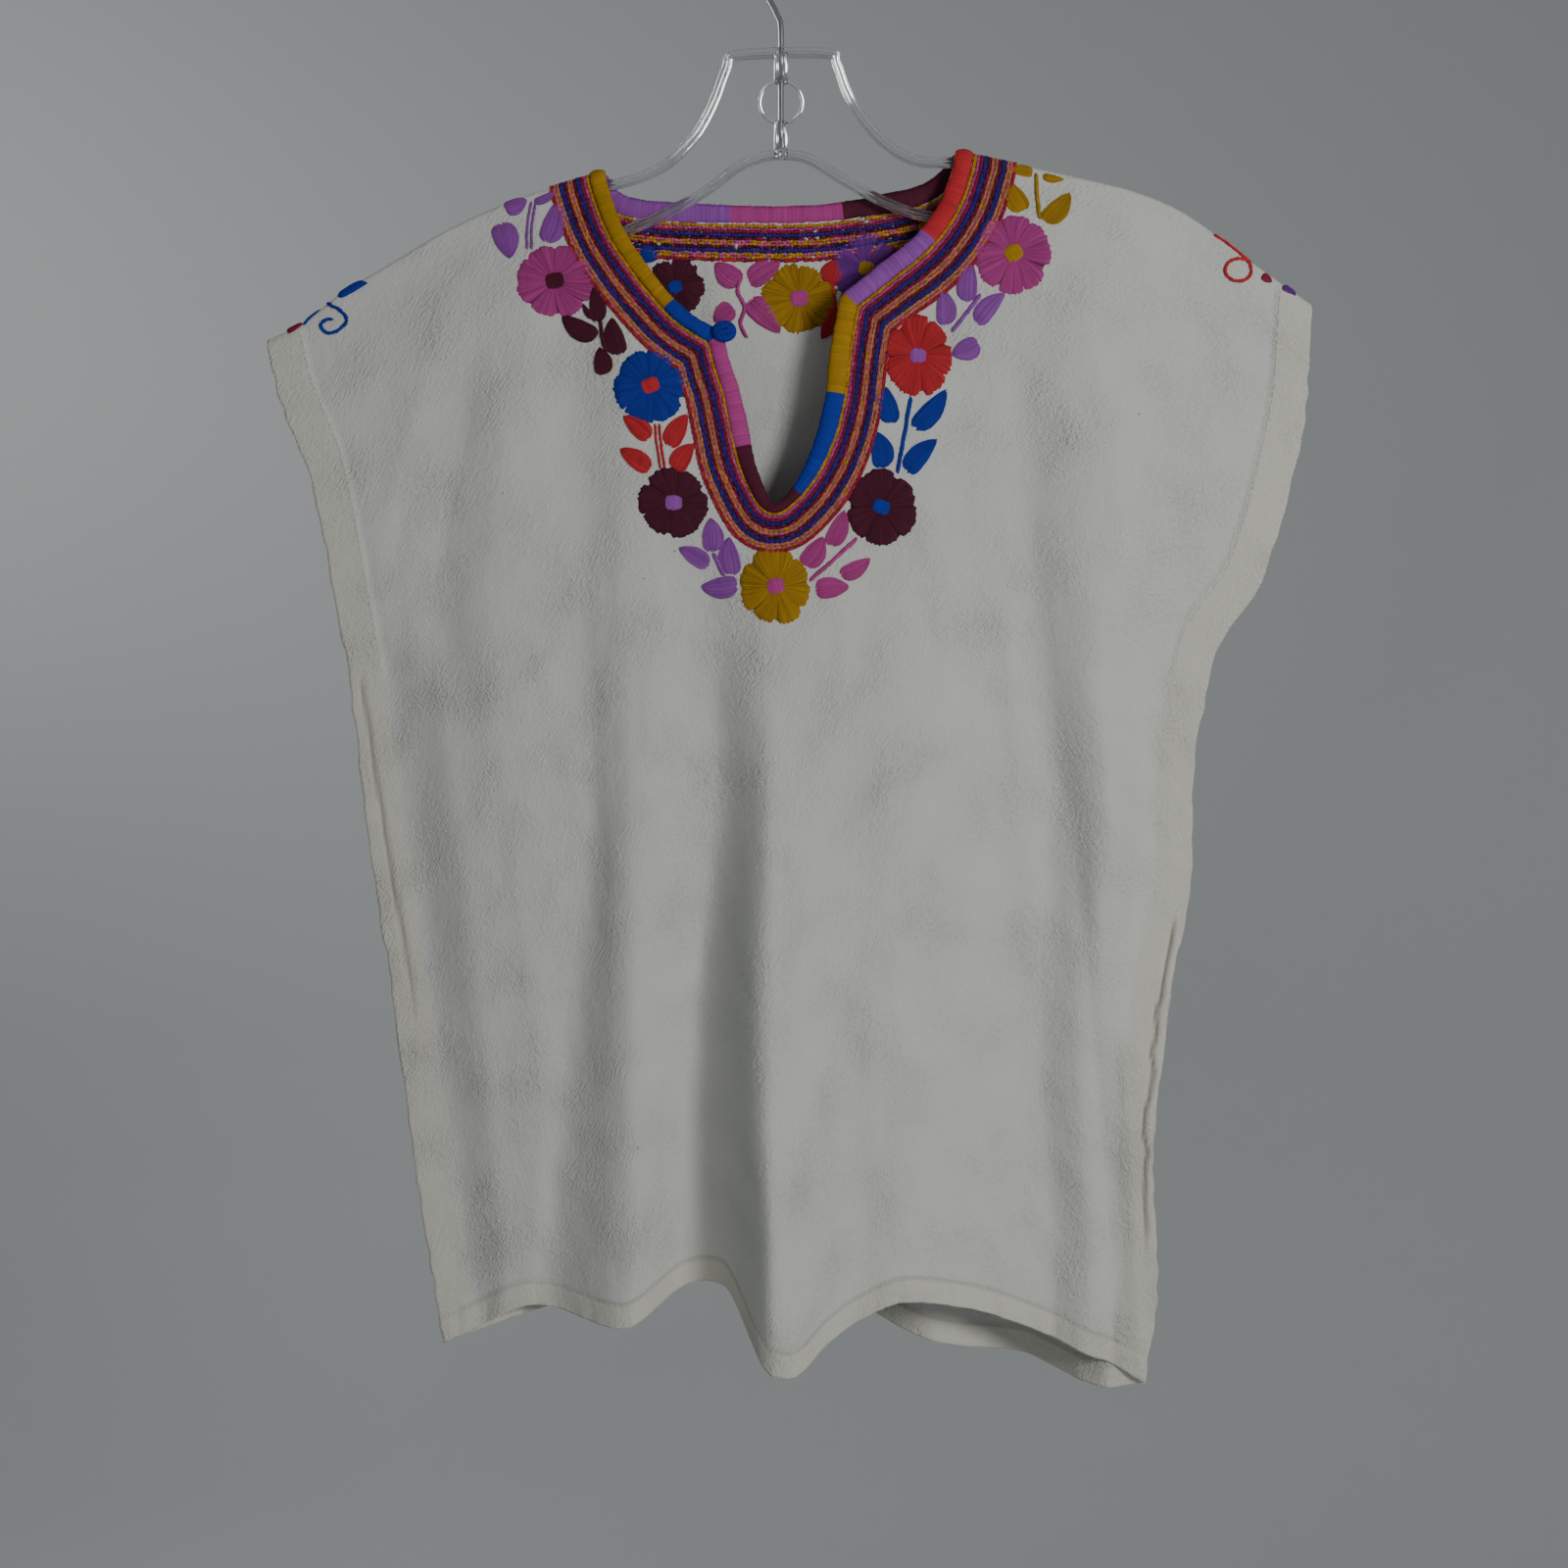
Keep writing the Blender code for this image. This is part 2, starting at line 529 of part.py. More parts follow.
def tube(name, radius, low, high):
    """A guide cylinder on the hanger's middle line."""
    shape = bmesh.new()
    bmesh.ops.create_cone(shape, cap_ends=True, segments=16, radius1=radius * MM, radius2=radius * MM,
                          depth=(high - low) * MM)
    bmesh.ops.translate(shape, verts=shape.verts, vec=Vector((0, 0, (low + high) / 2)) * MM)
    mesh = bpy.data.meshes.new(name)
    shape.to_mesh(mesh)
    shape.free()
    made = bpy.data.objects.new(name, mesh)
    bpy.context.scene.collection.objects.link(made)
    made.hide_render = True
    made.display_type = "WIRE"
    return made


def make_hook(finish):
    """The steel wire: a straight shank, a lean to the left, and the open round hook."""
    centre = -(HOOK_RADIUS - WIRE_RADIUS)
    path = [Point(0, SHANK[0]), Point(0, (SHANK[0] + SHANK[1]) / 2), Point(0, SHANK[1]), Point(-2.2, -57.5),
            Point(-7.2, -48.0)]
    for angle in range(210, -31, -15):
        turn = math.radians(angle)
        path.append(Point(HOOK_RADIUS * math.cos(turn), centre + HOOK_RADIUS * math.sin(turn)))
    line = run_through(path, HOOK_STATIONS)
    stations = []
    for i, here in enumerate(line):
        along = (Vector(line[min(i + 1, len(line) - 1)]) - Vector(line[max(i - 1, 0)])).normalized()
        stations.append((Vector((here.x, 0, here.z)), Vector((along.y, 0, -along.x)), Vector((0, 1, 0))))
    return sweep("hanger_hook", stations, False, WIRE_RADIUS, WIRE_RADIUS, finish)


def main():
    """Clear the scene and build the blouse and its hanger."""
    for item in list(bpy.data.objects):
        bpy.data.objects.remove(item)
    cotton = material("undyed cotton", (0.72, 0.73, 0.69), 0.9)
    braid = material("braided thread", (0.48, 0.09, 0.2), 0.75)
    binding = material("binding thread", (0.62, 0.36, 0.03), 0.7)
    blue = material("blue thread", (0.01, 0.06, 0.45), 0.65)
    clear = material("clear plastic", (0.9, 0.92, 0.92), 0.08, transmission=1.0)
    steel = material("steel wire", (0.6, 0.6, 0.6), 0.25, metallic=1.0)
    for front in (True, False):
        make_cloth(front, cotton)
        make_braid(front, braid)
        make_binding(front, binding)
    make_button(blue)
    make_hanger(clear)
    make_hook(steel)


main()
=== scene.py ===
"""Looks of the huipil blouse and its clear hanger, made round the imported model.

Blender works in metres. The tables are in millimetres in the same frame: the origin is the inner top
of the hook, +X is the viewer's right, the front faces -Y and +Z is up. Embroidery is drawn in the
front view, as x and z, and laid on the hung cloth from there.
"""

from __future__ import annotations

import logging
import math
from collections.abc import Callable, Sequence
from dataclasses import dataclass
from enum import Enum
from typing import Any, NamedTuple

import bmesh
import bpy
import numpy as np
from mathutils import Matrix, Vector

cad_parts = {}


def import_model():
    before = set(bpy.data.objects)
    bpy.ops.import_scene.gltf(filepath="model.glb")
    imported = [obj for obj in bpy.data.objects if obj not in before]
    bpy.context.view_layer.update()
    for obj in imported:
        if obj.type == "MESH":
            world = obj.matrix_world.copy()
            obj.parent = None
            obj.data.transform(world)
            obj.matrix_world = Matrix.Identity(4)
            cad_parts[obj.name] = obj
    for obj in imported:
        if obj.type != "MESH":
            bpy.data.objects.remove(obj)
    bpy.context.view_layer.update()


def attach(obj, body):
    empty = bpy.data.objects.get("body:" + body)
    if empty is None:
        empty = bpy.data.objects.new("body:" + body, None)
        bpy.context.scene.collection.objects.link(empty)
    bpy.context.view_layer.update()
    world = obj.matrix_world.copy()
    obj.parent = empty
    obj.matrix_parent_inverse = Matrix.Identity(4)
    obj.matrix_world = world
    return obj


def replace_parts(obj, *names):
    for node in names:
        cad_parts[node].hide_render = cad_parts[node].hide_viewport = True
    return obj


LOG = logging.getLogger("blouse")
MM = 0.001
Array = np.ndarray

# Cloth
CLOTH_THIN = 0.65         # single cloth
CLOTH_DOUBLE = 1.3        # turned hem
SEAM_WIDTH = 19.0         # from the free edge to the stitch line, on sleeves and sides
HEM_WIDTH = 13.0          # turned hem at the foot
HEM_STEP = 0.8            # how far the doubled sleeve edge stands proud
ARMHOLE_FOOT = -429.0
SEAM_HALF_GAP = 0.15

# The fold over the shoulder: a short flat crown, then a quarter round on each side
CROWN_FLAT = 2.2
CROWN_RADIUS = 3.5
CROWN_REACH = SEAM_HALF_GAP + CROWN_FLAT + CROWN_RADIUS
CROWN_LENGTH = CROWN_FLAT + 0.5 * math.pi * CROWN_RADIUS

# Neck
BINDING_WIDTH = 8.5       # full width; the rows' places count from the opening with the binding this wide
BINDING_BULK = 4.2
BINDING_PROUD = 0.5       # how far its middle stands outside the cloth's outer face
BRAID_NEAR = 8.3
BRAID_FAR = 30.9

# The view that the tables were read in
VIEW_DISTANCE = 1150.0
VIEW_MIDDLE = (1.65, -489.4)


class Point(NamedTuple):
    """A place in the front view."""

    x: float
    z: float


class Edge(NamedTuple):
    """A free edge, by the fraction of the way down."""

    down: float
    x: float


class Hem(NamedTuple):
    """A hem, by the fraction of the way across."""

    across: float
    z: float


class Side(NamedTuple):
    """How far a free edge stands off the other, and how far both swing forward."""

    z: float
    open: float
    forward: float


class Fold(NamedTuple):
    """A main fold: where it lies across at each level, and how far out from the middle."""

    name: str
    place: tuple[float, ...]
    depth: tuple[float, ...]


class Crease(NamedTuple):
    """A soft crease down the cloth: its x and height at each z, and how far it reaches to its left and right."""

    z: tuple[float, ...]
    x: tuple[float, ...]
    height: tuple[float, ...]
    left: float
    right: float


SHOULDER = (
    Point(-287.1, -240.8), Point(-267.9, -231.5), Point(-245.9, -214.4), Point(-218.4, -197.9),
    Point(-190.9, -181.4), Point(-160.6, -167.0), Point(-122.1, -153.5), Point(-97.4, -147.3),
    Point(97.9, -136.5), Point(125.4, -141.2), Point(166.7, -150.1), Point(194.2, -156.7),
    Point(221.7, -167.7), Point(243.7, -182.4), Point(265.7, -199.0), Point(296.5, -221.0),
)
LEFT_EDGE = (
    Edge(0.0, -287.1), Edge(0.05, -280.5), Edge(0.13, -262.4), Edge(0.21, -252.5), Edge(0.335, -242.0),
    Edge(0.49, -232.1), Edge(0.64, -219.5), Edge(0.835, -204.6), Edge(1.0, -188.7),
)
RIGHT_EDGE = (
    Edge(0.0, 296.5), Edge(0.09, 292.1), Edge(0.17, 282.2), Edge(0.26, 265.7), Edge(0.31, 246.0),
    Edge(0.35, 239.3), Edge(0.44, 230.5), Edge(0.53, 229.0), Edge(0.59, 222.0), Edge(0.67, 213.4),
    Edge(0.8, 206.3), Edge(0.9, 209.0), Edge(1.0, 202.4),
)
FRONT_HEM = (
    Hem(0.0, -801.8), Hem(0.04, -794.7), Hem(0.13, -779.3), Hem(0.26, -785.3), Hem(0.35, -767.2),
    Hem(0.4, -764.4), Hem(0.47, -800.2), Hem(0.5, -801.8), Hem(0.54, -789.2), Hem(0.585, -778.2),
    Hem(0.65, -768.8), Hem(0.73, -774.9), Hem(0.83, -790.3), Hem(0.965, -814.5), Hem(1.0, -823.3),
)
BACK_HEM = (
    Hem(0.0, -801.8), Hem(0.1, -789.2), Hem(0.25, -776.5), Hem(0.4, -767.2), Hem(0.5, -774.3),
    Hem(0.6, -789.2), Hem(0.7, -804.0), Hem(0.83, -816.7), Hem(0.95, -826.0), Hem(1.0, -823.3),
)
LEFT_SIDE = (
    Side(-241.0, 5.9, 0), Side(-297.0, 10.5, 0), Side(-353.0, 12.5, 0), Side(-398.0, 8.0, 0),
    Side(ARMHOLE_FOOT, 1.65, 0), Side(-577.0, 1.65, -3), Side(-802.0, 1.65, 2),
)
RIGHT_SIDE = (
    Side(-221.0, 5.9, 0), Side(-281.0, 10.5, 0), Side(-341.0, 12.5, 0), Side(-390.0, 8.0, 0),
    Side(-423.0, 1.65, 0), Side(-522.0, 1.65, 4), Side(-673.0, 1.65, 14), Side(-823.0, 1.65, 8),
)
LEVELS = (0.1, 0.2, 0.34, 0.5, 0.75, 1.0)
FRONT_FOLDS = (
    Fold("sleeve trough", (0.13, 0.11, 0.105, 0.115, 0.12, 0.1), (12, 12, 11, 13, 12, 10)),
    Fold("arm crest", (0.21, 0.19, 0.17, 0.18, 0.18, 0.125), (16, 18, 18, 17, 13, 10)),
    Fold("left trough", (0.26, 0.26, 0.268, 0.265, 0.22, 0.14), (13, 14, 15, 14, 11, 9)),
    Fold("left crest", (0.31, 0.315, 0.325, 0.325, 0.31, 0.27), (15, 18, 21, 25, 31, 38)),
    Fold("centre trough", (0.4, 0.41, 0.42, 0.42, 0.395, 0.365), (14, 16, 18, 17, 12, 9)),
    Fold("centre crest", (0.5, 0.495, 0.49, 0.488, 0.485, 0.48), (14, 16, 22, 37, 57, 70)),
    Fold("centre fall", (0.6, 0.6, 0.62, 0.62, 0.61, 0.6), (14, 16, 21, 31, 44, 50)),
    Fold("right trough", (0.7, 0.715, 0.775, 0.815, 0.845, 0.86), (13, 14, 14, 13, 12, 11)),
    Fold("right crest", (0.78, 0.8, 0.855, 0.885, 0.905, 0.915), (17, 21, 25, 27, 24, 19)),
)
BACK_FOLDS = (
    Fold("left trough", (0.12, 0.11, 0.1, 0.12, 0.14, 0.15), (12, 12, 13, 13, 12, 11)),
    Fold("left crest", (0.22, 0.22, 0.23, 0.24, 0.25, 0.26), (15, 18, 22, 27, 35, 42)),
    Fold("middle trough", (0.36, 0.36, 0.37, 0.37, 0.38, 0.38), (13, 14, 15, 14, 12, 11)),
    Fold("middle crest", (0.5, 0.5, 0.51, 0.52, 0.53, 0.54), (14, 17, 21, 27, 38, 48)),
    Fold("right trough", (0.66, 0.66, 0.68, 0.68, 0.69, 0.7), (13, 13, 14, 13, 11, 10)),
    Fold("right crest", (0.8, 0.8, 0.82, 0.82, 0.83, 0.84), (16, 19, 22, 27, 32, 36)),
)
FRONT_CREASES = (
    Crease((-817, -700, -560, -407), (-6.5, -6.0, -5.5, -6.0), (6.5, 6.5, 4.5, 0.0), 20.0, 24.0),
    Crease((-700, -560, -430, -330), (-96, -92, -100, -104), (0.0, 1.4, 1.6, 0.0), 12.0, 12.0),
    Crease((-740, -640, -500, -300), (178, 176, 158, 132), (0.0, -2.2, -2.4, 0.0), 13.0, 13.0),
    Crease((-640, -540, -420, -300), (140, 136, 126, 108), (0.0, 1.5, 1.8, 0.0), 11.0, 11.0),
    Crease((-560, -430, -300, -196), (-190, -196, -178, -160), (0.0, -2.0, -2.6, 0.0), 14.0, 14.0),
    Crease((-420, -330, -250, -190), (196, 186, 172, 160), (0.0, 1.6, 1.8, 0.0), 10.0, 10.0),
    Crease((-420, -330, -260, -200), (-228, -216, -196, -178), (0.0, 1.5, 1.7, 0.0), 9.0, 9.0),
    Crease((-790, -700, -600, -520), (60, 58, 52, 50), (0.0, -1.3, -1.2, 0.0), 15.0, 15.0),
    Crease((-812, -700, -600, -440), (186, 179, 170, 158), (-2.5, -5.0, -4.5, 0.0), 20.0, 6.0),
    Crease((-812, -700, -600, -440), (199, 193, 186, 176), (1.5, 2.2, 2.0, 0.0), 6.0, 8.0),
)
BACK_CREASES = (
    Crease((-815, -700, -560, -407), (10.0, 12.0, 8.0, 4.0), (2.4, 2.2, 1.8, 0.0), 10.0, 10.0),
    Crease((-720, -560, -430, -320), (-110, -104, -112, -118), (0.0, 1.6, 1.6, 0.0), 12.0, 12.0),
    Crease((-700, -600, -460, -300), (120, 116, 104, 96), (0.0, -1.8, -2.2, 0.0), 13.0, 13.0),
    Crease((-560, -430, -300, -210), (180, 190, 174, 156), (0.0, 2.0, 2.4, 0.0), 12.0, 12.0),
    Crease((-540, -430, -310, -210), (-176, -188, -170, -150), (0.0, 1.8, 2.2, 0.0), 12.0, 12.0),
)

NECK_LEFT = (Point(-99.0, -147.3), Point(-86.4, -181.4), Point(-57.8, -219.4), Point(-33.0, -236.4))
NECK_SLIT = (
    Point(-33.0, -236.4), Point(-28.6, -254.0), Point(-24.3, -267.0), Point(-20.6, -284.0),
    Point(-14.6, -311.3), Point(-5.0, -332.1), Point(8.6, -320.5), Point(19.4, -296.4), Point(25.2, -272.0),
    Point(28.2, -246.0), Point(33.0, -215.6),
)
NECK_RIGHT = (
    Point(33.0, -215.6), Point(55.4, -198.0), Point(75.9, -181.4), Point(89.7, -162.2), Point(97.9, -137.4),
)
NECK_BACK = (
    Point(-99.0, -147.3), Point(-91.9, -158.3), Point(-78.1, -163.2), Point(-53.4, -164.9), Point(1.7, -166.0),
    Point(34.7, -163.8), Point(73.2, -156.7), Point(88.6, -148.4), Point(97.9, -137.4),
)
BUTTON_PLACE = Point(-32.0, -236.5)

RAIL_NECK = (
    Point(-89.7, -152.2), Point(-66.0, -142.9), Point(-49.5, -127.5), Point(-42.9, -117.6),
    Point(-36.9, -105.0), Point(-30.3, -87.3), Point(-24.5, -80.5), Point(25.0, -79.3), Point(30.6, -84.5),
    Point(36.3, -100.0), Point(44.0, -113.8), Point(54.5, -126.4), Point(66.6, -135.8), Point(80.2, -140.6),
)
BAR_NECK = (
    Point(-84.7, -178.1), Point(-59.4, -166.6), Point(-40.7, -155.6), Point(-27.0, -145.1),
    Point(-16.5, -139.6), Point(-3.9, -136.3), Point(13.8, -138.0), Point(29.2, -146.8), Point(47.9, -157.8),
    Point(66.6, -166.6), Point(82.0, -170.8),
)
ARM_LEFT = (-211.0, -180.0, -140.0, -108.0)
ARM_RIGHT = (98.0, 130.0, 170.0, 211.0)
TIP_LEFT = (Point(-216.0, -204.0), Point(-211.0, -208.0))
TIP_RIGHT = (Point(216.5, -172.5), Point(212.0, -177.5))
BAR_LEFT = (Point(-175.0, -202.0), Point(-130.0, -192.0))
BAR_RIGHT = (Point(125.0, -176.0), Point(170.0, -179.0))


class Face(Enum):
    """A half of the cloth, by the sign that turns its depth towards the viewer."""

    FRONT = 1
    BACK = -1


class Yarn(Enum):
    """The threads, by colour."""

    OCHRE = (0.50, 0.27, 0.002)
    GOLD = (0.66, 0.33, 0.02)
    BLUE = (0.002, 0.032, 0.42)
    MAROON = (0.098, 0.006, 0.028)
    CORAL = (0.66, 0.03, 0.04)
    PINK = (0.56, 0.06, 0.31)
    ROSE = (0.66, 0.12, 0.30)
    LILAC = (0.36, 0.09, 0.48)
    PURPLE = (0.19, 0.03, 0.33)
    VIOLET = (0.035, 0.018, 0.26)
    CRIMSON = (0.36, 0.012, 0.07)
    COTTON = (0.72, 0.71, 0.65)

    @property
    def colour(self) -> Array:
        """The colour as an array."""
        return np.array(self.value)


class Row(NamedTuple):
    """A row of chain stitch in the neck band: its place from the opening, and the colours of its two legs."""

    name: str
    distance: float
    width: float
    near: Yarn
    far: Yarn


BRAID_ROWS = (
    Row("gold_inner", 9.5, 1.9, Yarn.GOLD, Yarn.GOLD),
    Row("rose_inner", 11.2, 1.6, Yarn.ROSE, Yarn.PINK),
    Row("crimson_inner", 12.8, 1.8, Yarn.CRIMSON, Yarn.CRIMSON),
    Row("blue_inner", 14.9, 2.5, Yarn.VIOLET, Yarn.VIOLET),
    Row("maroon_inner", 17.0, 1.8, Yarn.CRIMSON, Yarn.MAROON),
    Row("chain_middle_near", 18.7, 1.8, Yarn.ROSE, Yarn.GOLD),
    Row("chain_middle_far", 20.4, 1.8, Yarn.GOLD, Yarn.ROSE),
    Row("crimson_middle", 22.1, 1.8, Yarn.CRIMSON, Yarn.MAROON),
    Row("blue_outer", 24.2, 2.5, Yarn.VIOLET, Yarn.VIOLET),
    Row("chain_outer_near", 26.4, 1.8, Yarn.GOLD, Yarn.ROSE),
    Row("chain_outer_far", 28.1, 1.8, Yarn.ROSE, Yarn.GOLD),
    Row("coral_outer", 29.9, 1.9, Yarn.CORAL, Yarn.CRIMSON),
)


class Girth(NamedTuple):
    """How wide the binding and the rows are together at a height."""

    z: float
    binding: float
    rows: float


LEFT_GIRTHS = (
    Girth(-143.0, 9.6, 23.0), Girth(-180.0, 8.8, 23.0), Girth(-225.0, 8.2, 22.4), Girth(-262.0, 8.2, 21.6),
    Girth(-305.0, 7.8, 22.2), Girth(-331.6, 5.0, 22.4),
)
RIGHT_GIRTHS = (
    Girth(-133.0, 10.4, 25.0), Girth(-180.0, 10.2, 25.5), Girth(-212.0, 10.4, 23.6), Girth(-240.0, 9.9, 22.2),
    Girth(-273.0, 9.8, 22.0), Girth(-305.0, 8.4, 22.6), Girth(-331.6, 5.0, 22.4),
)
BACK_GIRTHS = (Girth(-170.0, 9.4, 19.6), Girth(-130.0, 9.4, 23.0))


class Length(NamedTuple):
    """A length of one colour on the binding, up to the place where it ends."""

    yarn: Yarn
    end: Point


FRONT_LENGTHS = (
    Length(Yarn.OCHRE, Point(-57.8, -219.4)), Length(Yarn.BLUE, Point(-32.6, -240.0)),
    Length(Yarn.PINK, Point(-21.5, -302.4)), Length(Yarn.MAROON, Point(8.2, -328.8)),
    Length(Yarn.BLUE, Point(25.0, -273.0)), Length(Yarn.OCHRE, Point(33.0, -215.6)),
    Length(Yarn.LILAC, Point(75.9, -181.4)), Length(Yarn.CORAL, Point(97.9, -137.4)),
)
BACK_LENGTHS = (
    Length(Yarn.LILAC, Point(-28.6, -165.5)), Length(Yarn.PINK, Point(33.6, -163.9)),
    Length(Yarn.MAROON, Point(97.9, -137.4)),
)


class Bloom(NamedTuple):
    """A flower: its middle, half width, petals, turn in degrees, its two colours and its height over its width."""

    x: float
    z: float
    radius: float
    petals: int
    turn: float
    yarn: Yarn
    eye: Yarn
    tall: float = 1.0


FRONT_BLOOMS = (
    Bloom(-126.9, -207.3, 21.8, 8, 92, Yarn.PINK, Yarn.MAROON, 0.95),
    Bloom(-73.2, -265.8, 19.9, 6, 100, Yarn.BLUE, Yarn.CORAL, 1.04),
    Bloom(-60.3, -331.6, 19.4, 6, 80, Yarn.MAROON, Yarn.LILAC, 1.0),
    Bloom(-2.9, -378.4, 19.4, 8, 95, Yarn.OCHRE, Yarn.PINK, 1.09),
    Bloom(56.3, -334.1, 19.1, 6, 60, Yarn.MAROON, Yarn.BLUE, 1.09),
    Bloom(76.8, -249.2, 18.7, 7, 75, Yarn.CORAL, Yarn.LILAC, 1.2),
    Bloom(130.4, -191.8, 21.3, 8, 110, Yarn.PINK, Yarn.OCHRE, 1.06),
)
BACK_BLOOMS = (
    Bloom(-108.0, -203.0, 18.5, 7, 80, Yarn.CORAL, Yarn.LILAC),
    Bloom(-59.3, -210.8, 16.8, 6, 95, Yarn.MAROON, Yarn.BLUE, 0.96),
    Bloom(10.3, -217.2, 21.0, 7, 90, Yarn.OCHRE, Yarn.PINK, 0.93),
    Bloom(48.0, -200.5, 19.4, 6, 70, Yarn.PURPLE, Yarn.OCHRE),
    Bloom(104.0, -197.0, 18.8, 7, 105, Yarn.BLUE, Yarn.CORAL),
)


class Leaf(NamedTuple):
    """A leaf: the middle of its blunt end, its tip and its width."""

    x: float
    z: float
    tip_x: float
    tip_z: float
    width: float


class Sprig(NamedTuple):
    """Leaves of one colour and their stem, which may be a pair of thin lines."""

    name: str
    yarn: Yarn
    stem: tuple[Point, ...]
    leaves: tuple[Leaf, ...]
    twin: bool = False


FRONT_SPRIGS = (
    Sprig("lilac_left", Yarn.LILAC,
          (Point(-138.7, -162.9), Point(-141.0, -177.5), Point(-141.0, -189.3)),
          (Leaf(-155.7, -166.6, -142.2, -161.5, 10.4), Leaf(-158.2, -174.0, -151.8, -195.4, 14.4),
           Leaf(-131.8, -186.4, -125.2, -161.3, 13.4), Leaf(-139.4, -163.4, -125.0, -155.8, 5.0)), True),
    Sprig("maroon_left", Yarn.MAROON,
          (Point(-101.3, -229.3), Point(-100.4, -238.6), Point(-98.1, -246.5)),
          (Leaf(-102.7, -231.2, -105.6, -208.7, 9.4), Leaf(-105.6, -228.6, -111.3, -219.4, 3.8),
           Leaf(-102.6, -238.4, -123.7, -225.5, 11.6), Leaf(-90.2, -249.3, -94.8, -227.1, 12.0),
           Leaf(-99.6, -260.3, -102.3, -244.0, 10.4))),
    Sprig("coral_left", Yarn.CORAL,
          (Point(-69.4, -287.7), Point(-68.2, -300.0), Point(-66.4, -312.6)),
          (Leaf(-73.2, -296.0, -89.0, -282.4, 10.8), Leaf(-73.2, -313.6, -91.0, -301.0, 10.8),
           Leaf(-63.3, -300.6, -52.2, -281.3, 11.4), Leaf(-59.6, -314.4, -48.5, -298.0, 11.4)), True),
    Sprig("lilac_foot", Yarn.LILAC,
          (Point(-37.6, -360.2), Point(-35.2, -365.7), Point(-32.0, -372.4)),
          (Leaf(-38.3, -359.8, -39.9, -339.4, 12.2), Leaf(-40.0, -367.2, -58.2, -356.6, 10.2),
           Leaf(-26.4, -372.8, -29.4, -350.0, 11.8), Leaf(-23.4, -377.0, -46.1, -378.6, 12.4))),
    Sprig("pink_foot", Yarn.PINK,
          (Point(16.4, -375.0), Point(29.2, -364.0), Point(42.4, -351.9)),
          (Leaf(27.0, -356.4, 35.8, -335.0, 10.8), Leaf(12.4, -367.6, 23.9, -350.0, 12.4),
           Leaf(33.0, -372.9, 50.5, -362.4, 9.8), Leaf(18.5, -380.6, 39.0, -379.0, 12.0))),
    Sprig("blue_right", Yarn.BLUE,
          (Point(72.7, -272.7), Point(69.0, -295.1), Point(65.3, -314.5)),
          (Leaf(62.7, -287.8, 57.9, -265.2, 11.6), Leaf(74.0, -290.8, 93.2, -267.2, 12.0),
           Leaf(56.9, -312.8, 52.6, -290.8, 12.6), Leaf(70.0, -315.5, 88.2, -295.4, 11.8))),
    Sprig("lilac_right", Yarn.LILAC,
          (Point(111.7, -215.0), Point(104.0, -225.4), Point(96.0, -235.3)),
          (Leaf(104.5, -219.6, 106.8, -195.3, 11.8), Leaf(91.9, -232.8, 89.6, -210.9, 11.4),
           Leaf(109.4, -231.7, 126.2, -213.6, 11.0), Leaf(111.7, -242.0, 94.9, -248.8, 12.4))),
    Sprig("ochre_right", Yarn.OCHRE,
          (Point(143.4, -147.3), Point(143.4, -157.2), Point(145.2, -172.1)),
          (Leaf(136.6, -168.6, 128.0, -151.5, 12.4), Leaf(147.2, -174.5, 162.5, -157.0, 12.0),
           Leaf(141.9, -147.0, 127.4, -145.0, 6.4), Leaf(146.3, -148.0, 159.2, -150.2, 4.4))),
)
BACK_SPRIGS = (
    Sprig("lilac_left", Yarn.LILAC,
          (Point(-127.9, -153.0), Point(-134.1, -163.3), Point(-136.3, -173.4), Point(-133.0, -186.0)),
          (Leaf(-153.7, -171.8, -140.1, -166.8, 10.0), Leaf(-154.6, -176.5, -144.6, -192.7, 12.0))),
    Sprig("blue_left", Yarn.BLUE,
          (Point(-84.0, -197.0), Point(-83.0, -210.0), Point(-84.5, -222.0)),
          (Leaf(-80.4, -190.0, -67.2, -193.6, 9.4), Leaf(-82.8, -213.0, -93.2, -219.0, 7.6),
           Leaf(-83.1, -220.6, -76.9, -231.4, 8.0))),
    Sprig("pink_middle", Yarn.PINK,
          (Point(-22.6, -205.0), Point(-24.4, -213.0), Point(-20.6, -222.0), Point(-22.8, -231.0), Point(-19.4, -239.0)),
          (Leaf(-22.4, -208.9, -37.4, -196.6, 13.4), Leaf(-18.7, -208.6, 0.4, -196.6, 13.0),
           Leaf(-27.2, -220.8, -38.0, -230.6, 11.6), Leaf(-18.9, -217.5, -0.3, -237.2, 14.6))),
    Sprig("coral_middle", Yarn.CORAL,
          (Point(28.0, -207.8), Point(30.3, -222.1)),
          (Leaf(27.4, -210.0, 32.7, -194.2, 13.6), Leaf(30.5, -220.8, 22.4, -240.5, 10.6))),
    Sprig("maroon_right", Yarn.MAROON,
          (Point(78.0, -194.0), Point(78.6, -206.0), Point(77.0, -222.0)),
          (Leaf(76.3, -216.4, 69.8, -227.6, 8.4), Leaf(80.4, -216.4, 86.9, -227.6, 8.4),
           Leaf(79.8, -203.0, 79.0, -193.0, 7.0))),
    Sprig("ochre_right", Yarn.OCHRE,
          (Point(143.0, -143.4), Point(142.4, -156.7), Point(138.6, -172.0)),
          (Leaf(134.8, -154.3, 127.3, -167.3, 10.6), Leaf(147.2, -159.1, 161.2, -168.9, 11.0))),
)


class Stroke(NamedTuple):
    """A drawn line of stem stitch."""

    name: str
    yarn: Yarn
    points: tuple[Point, ...]


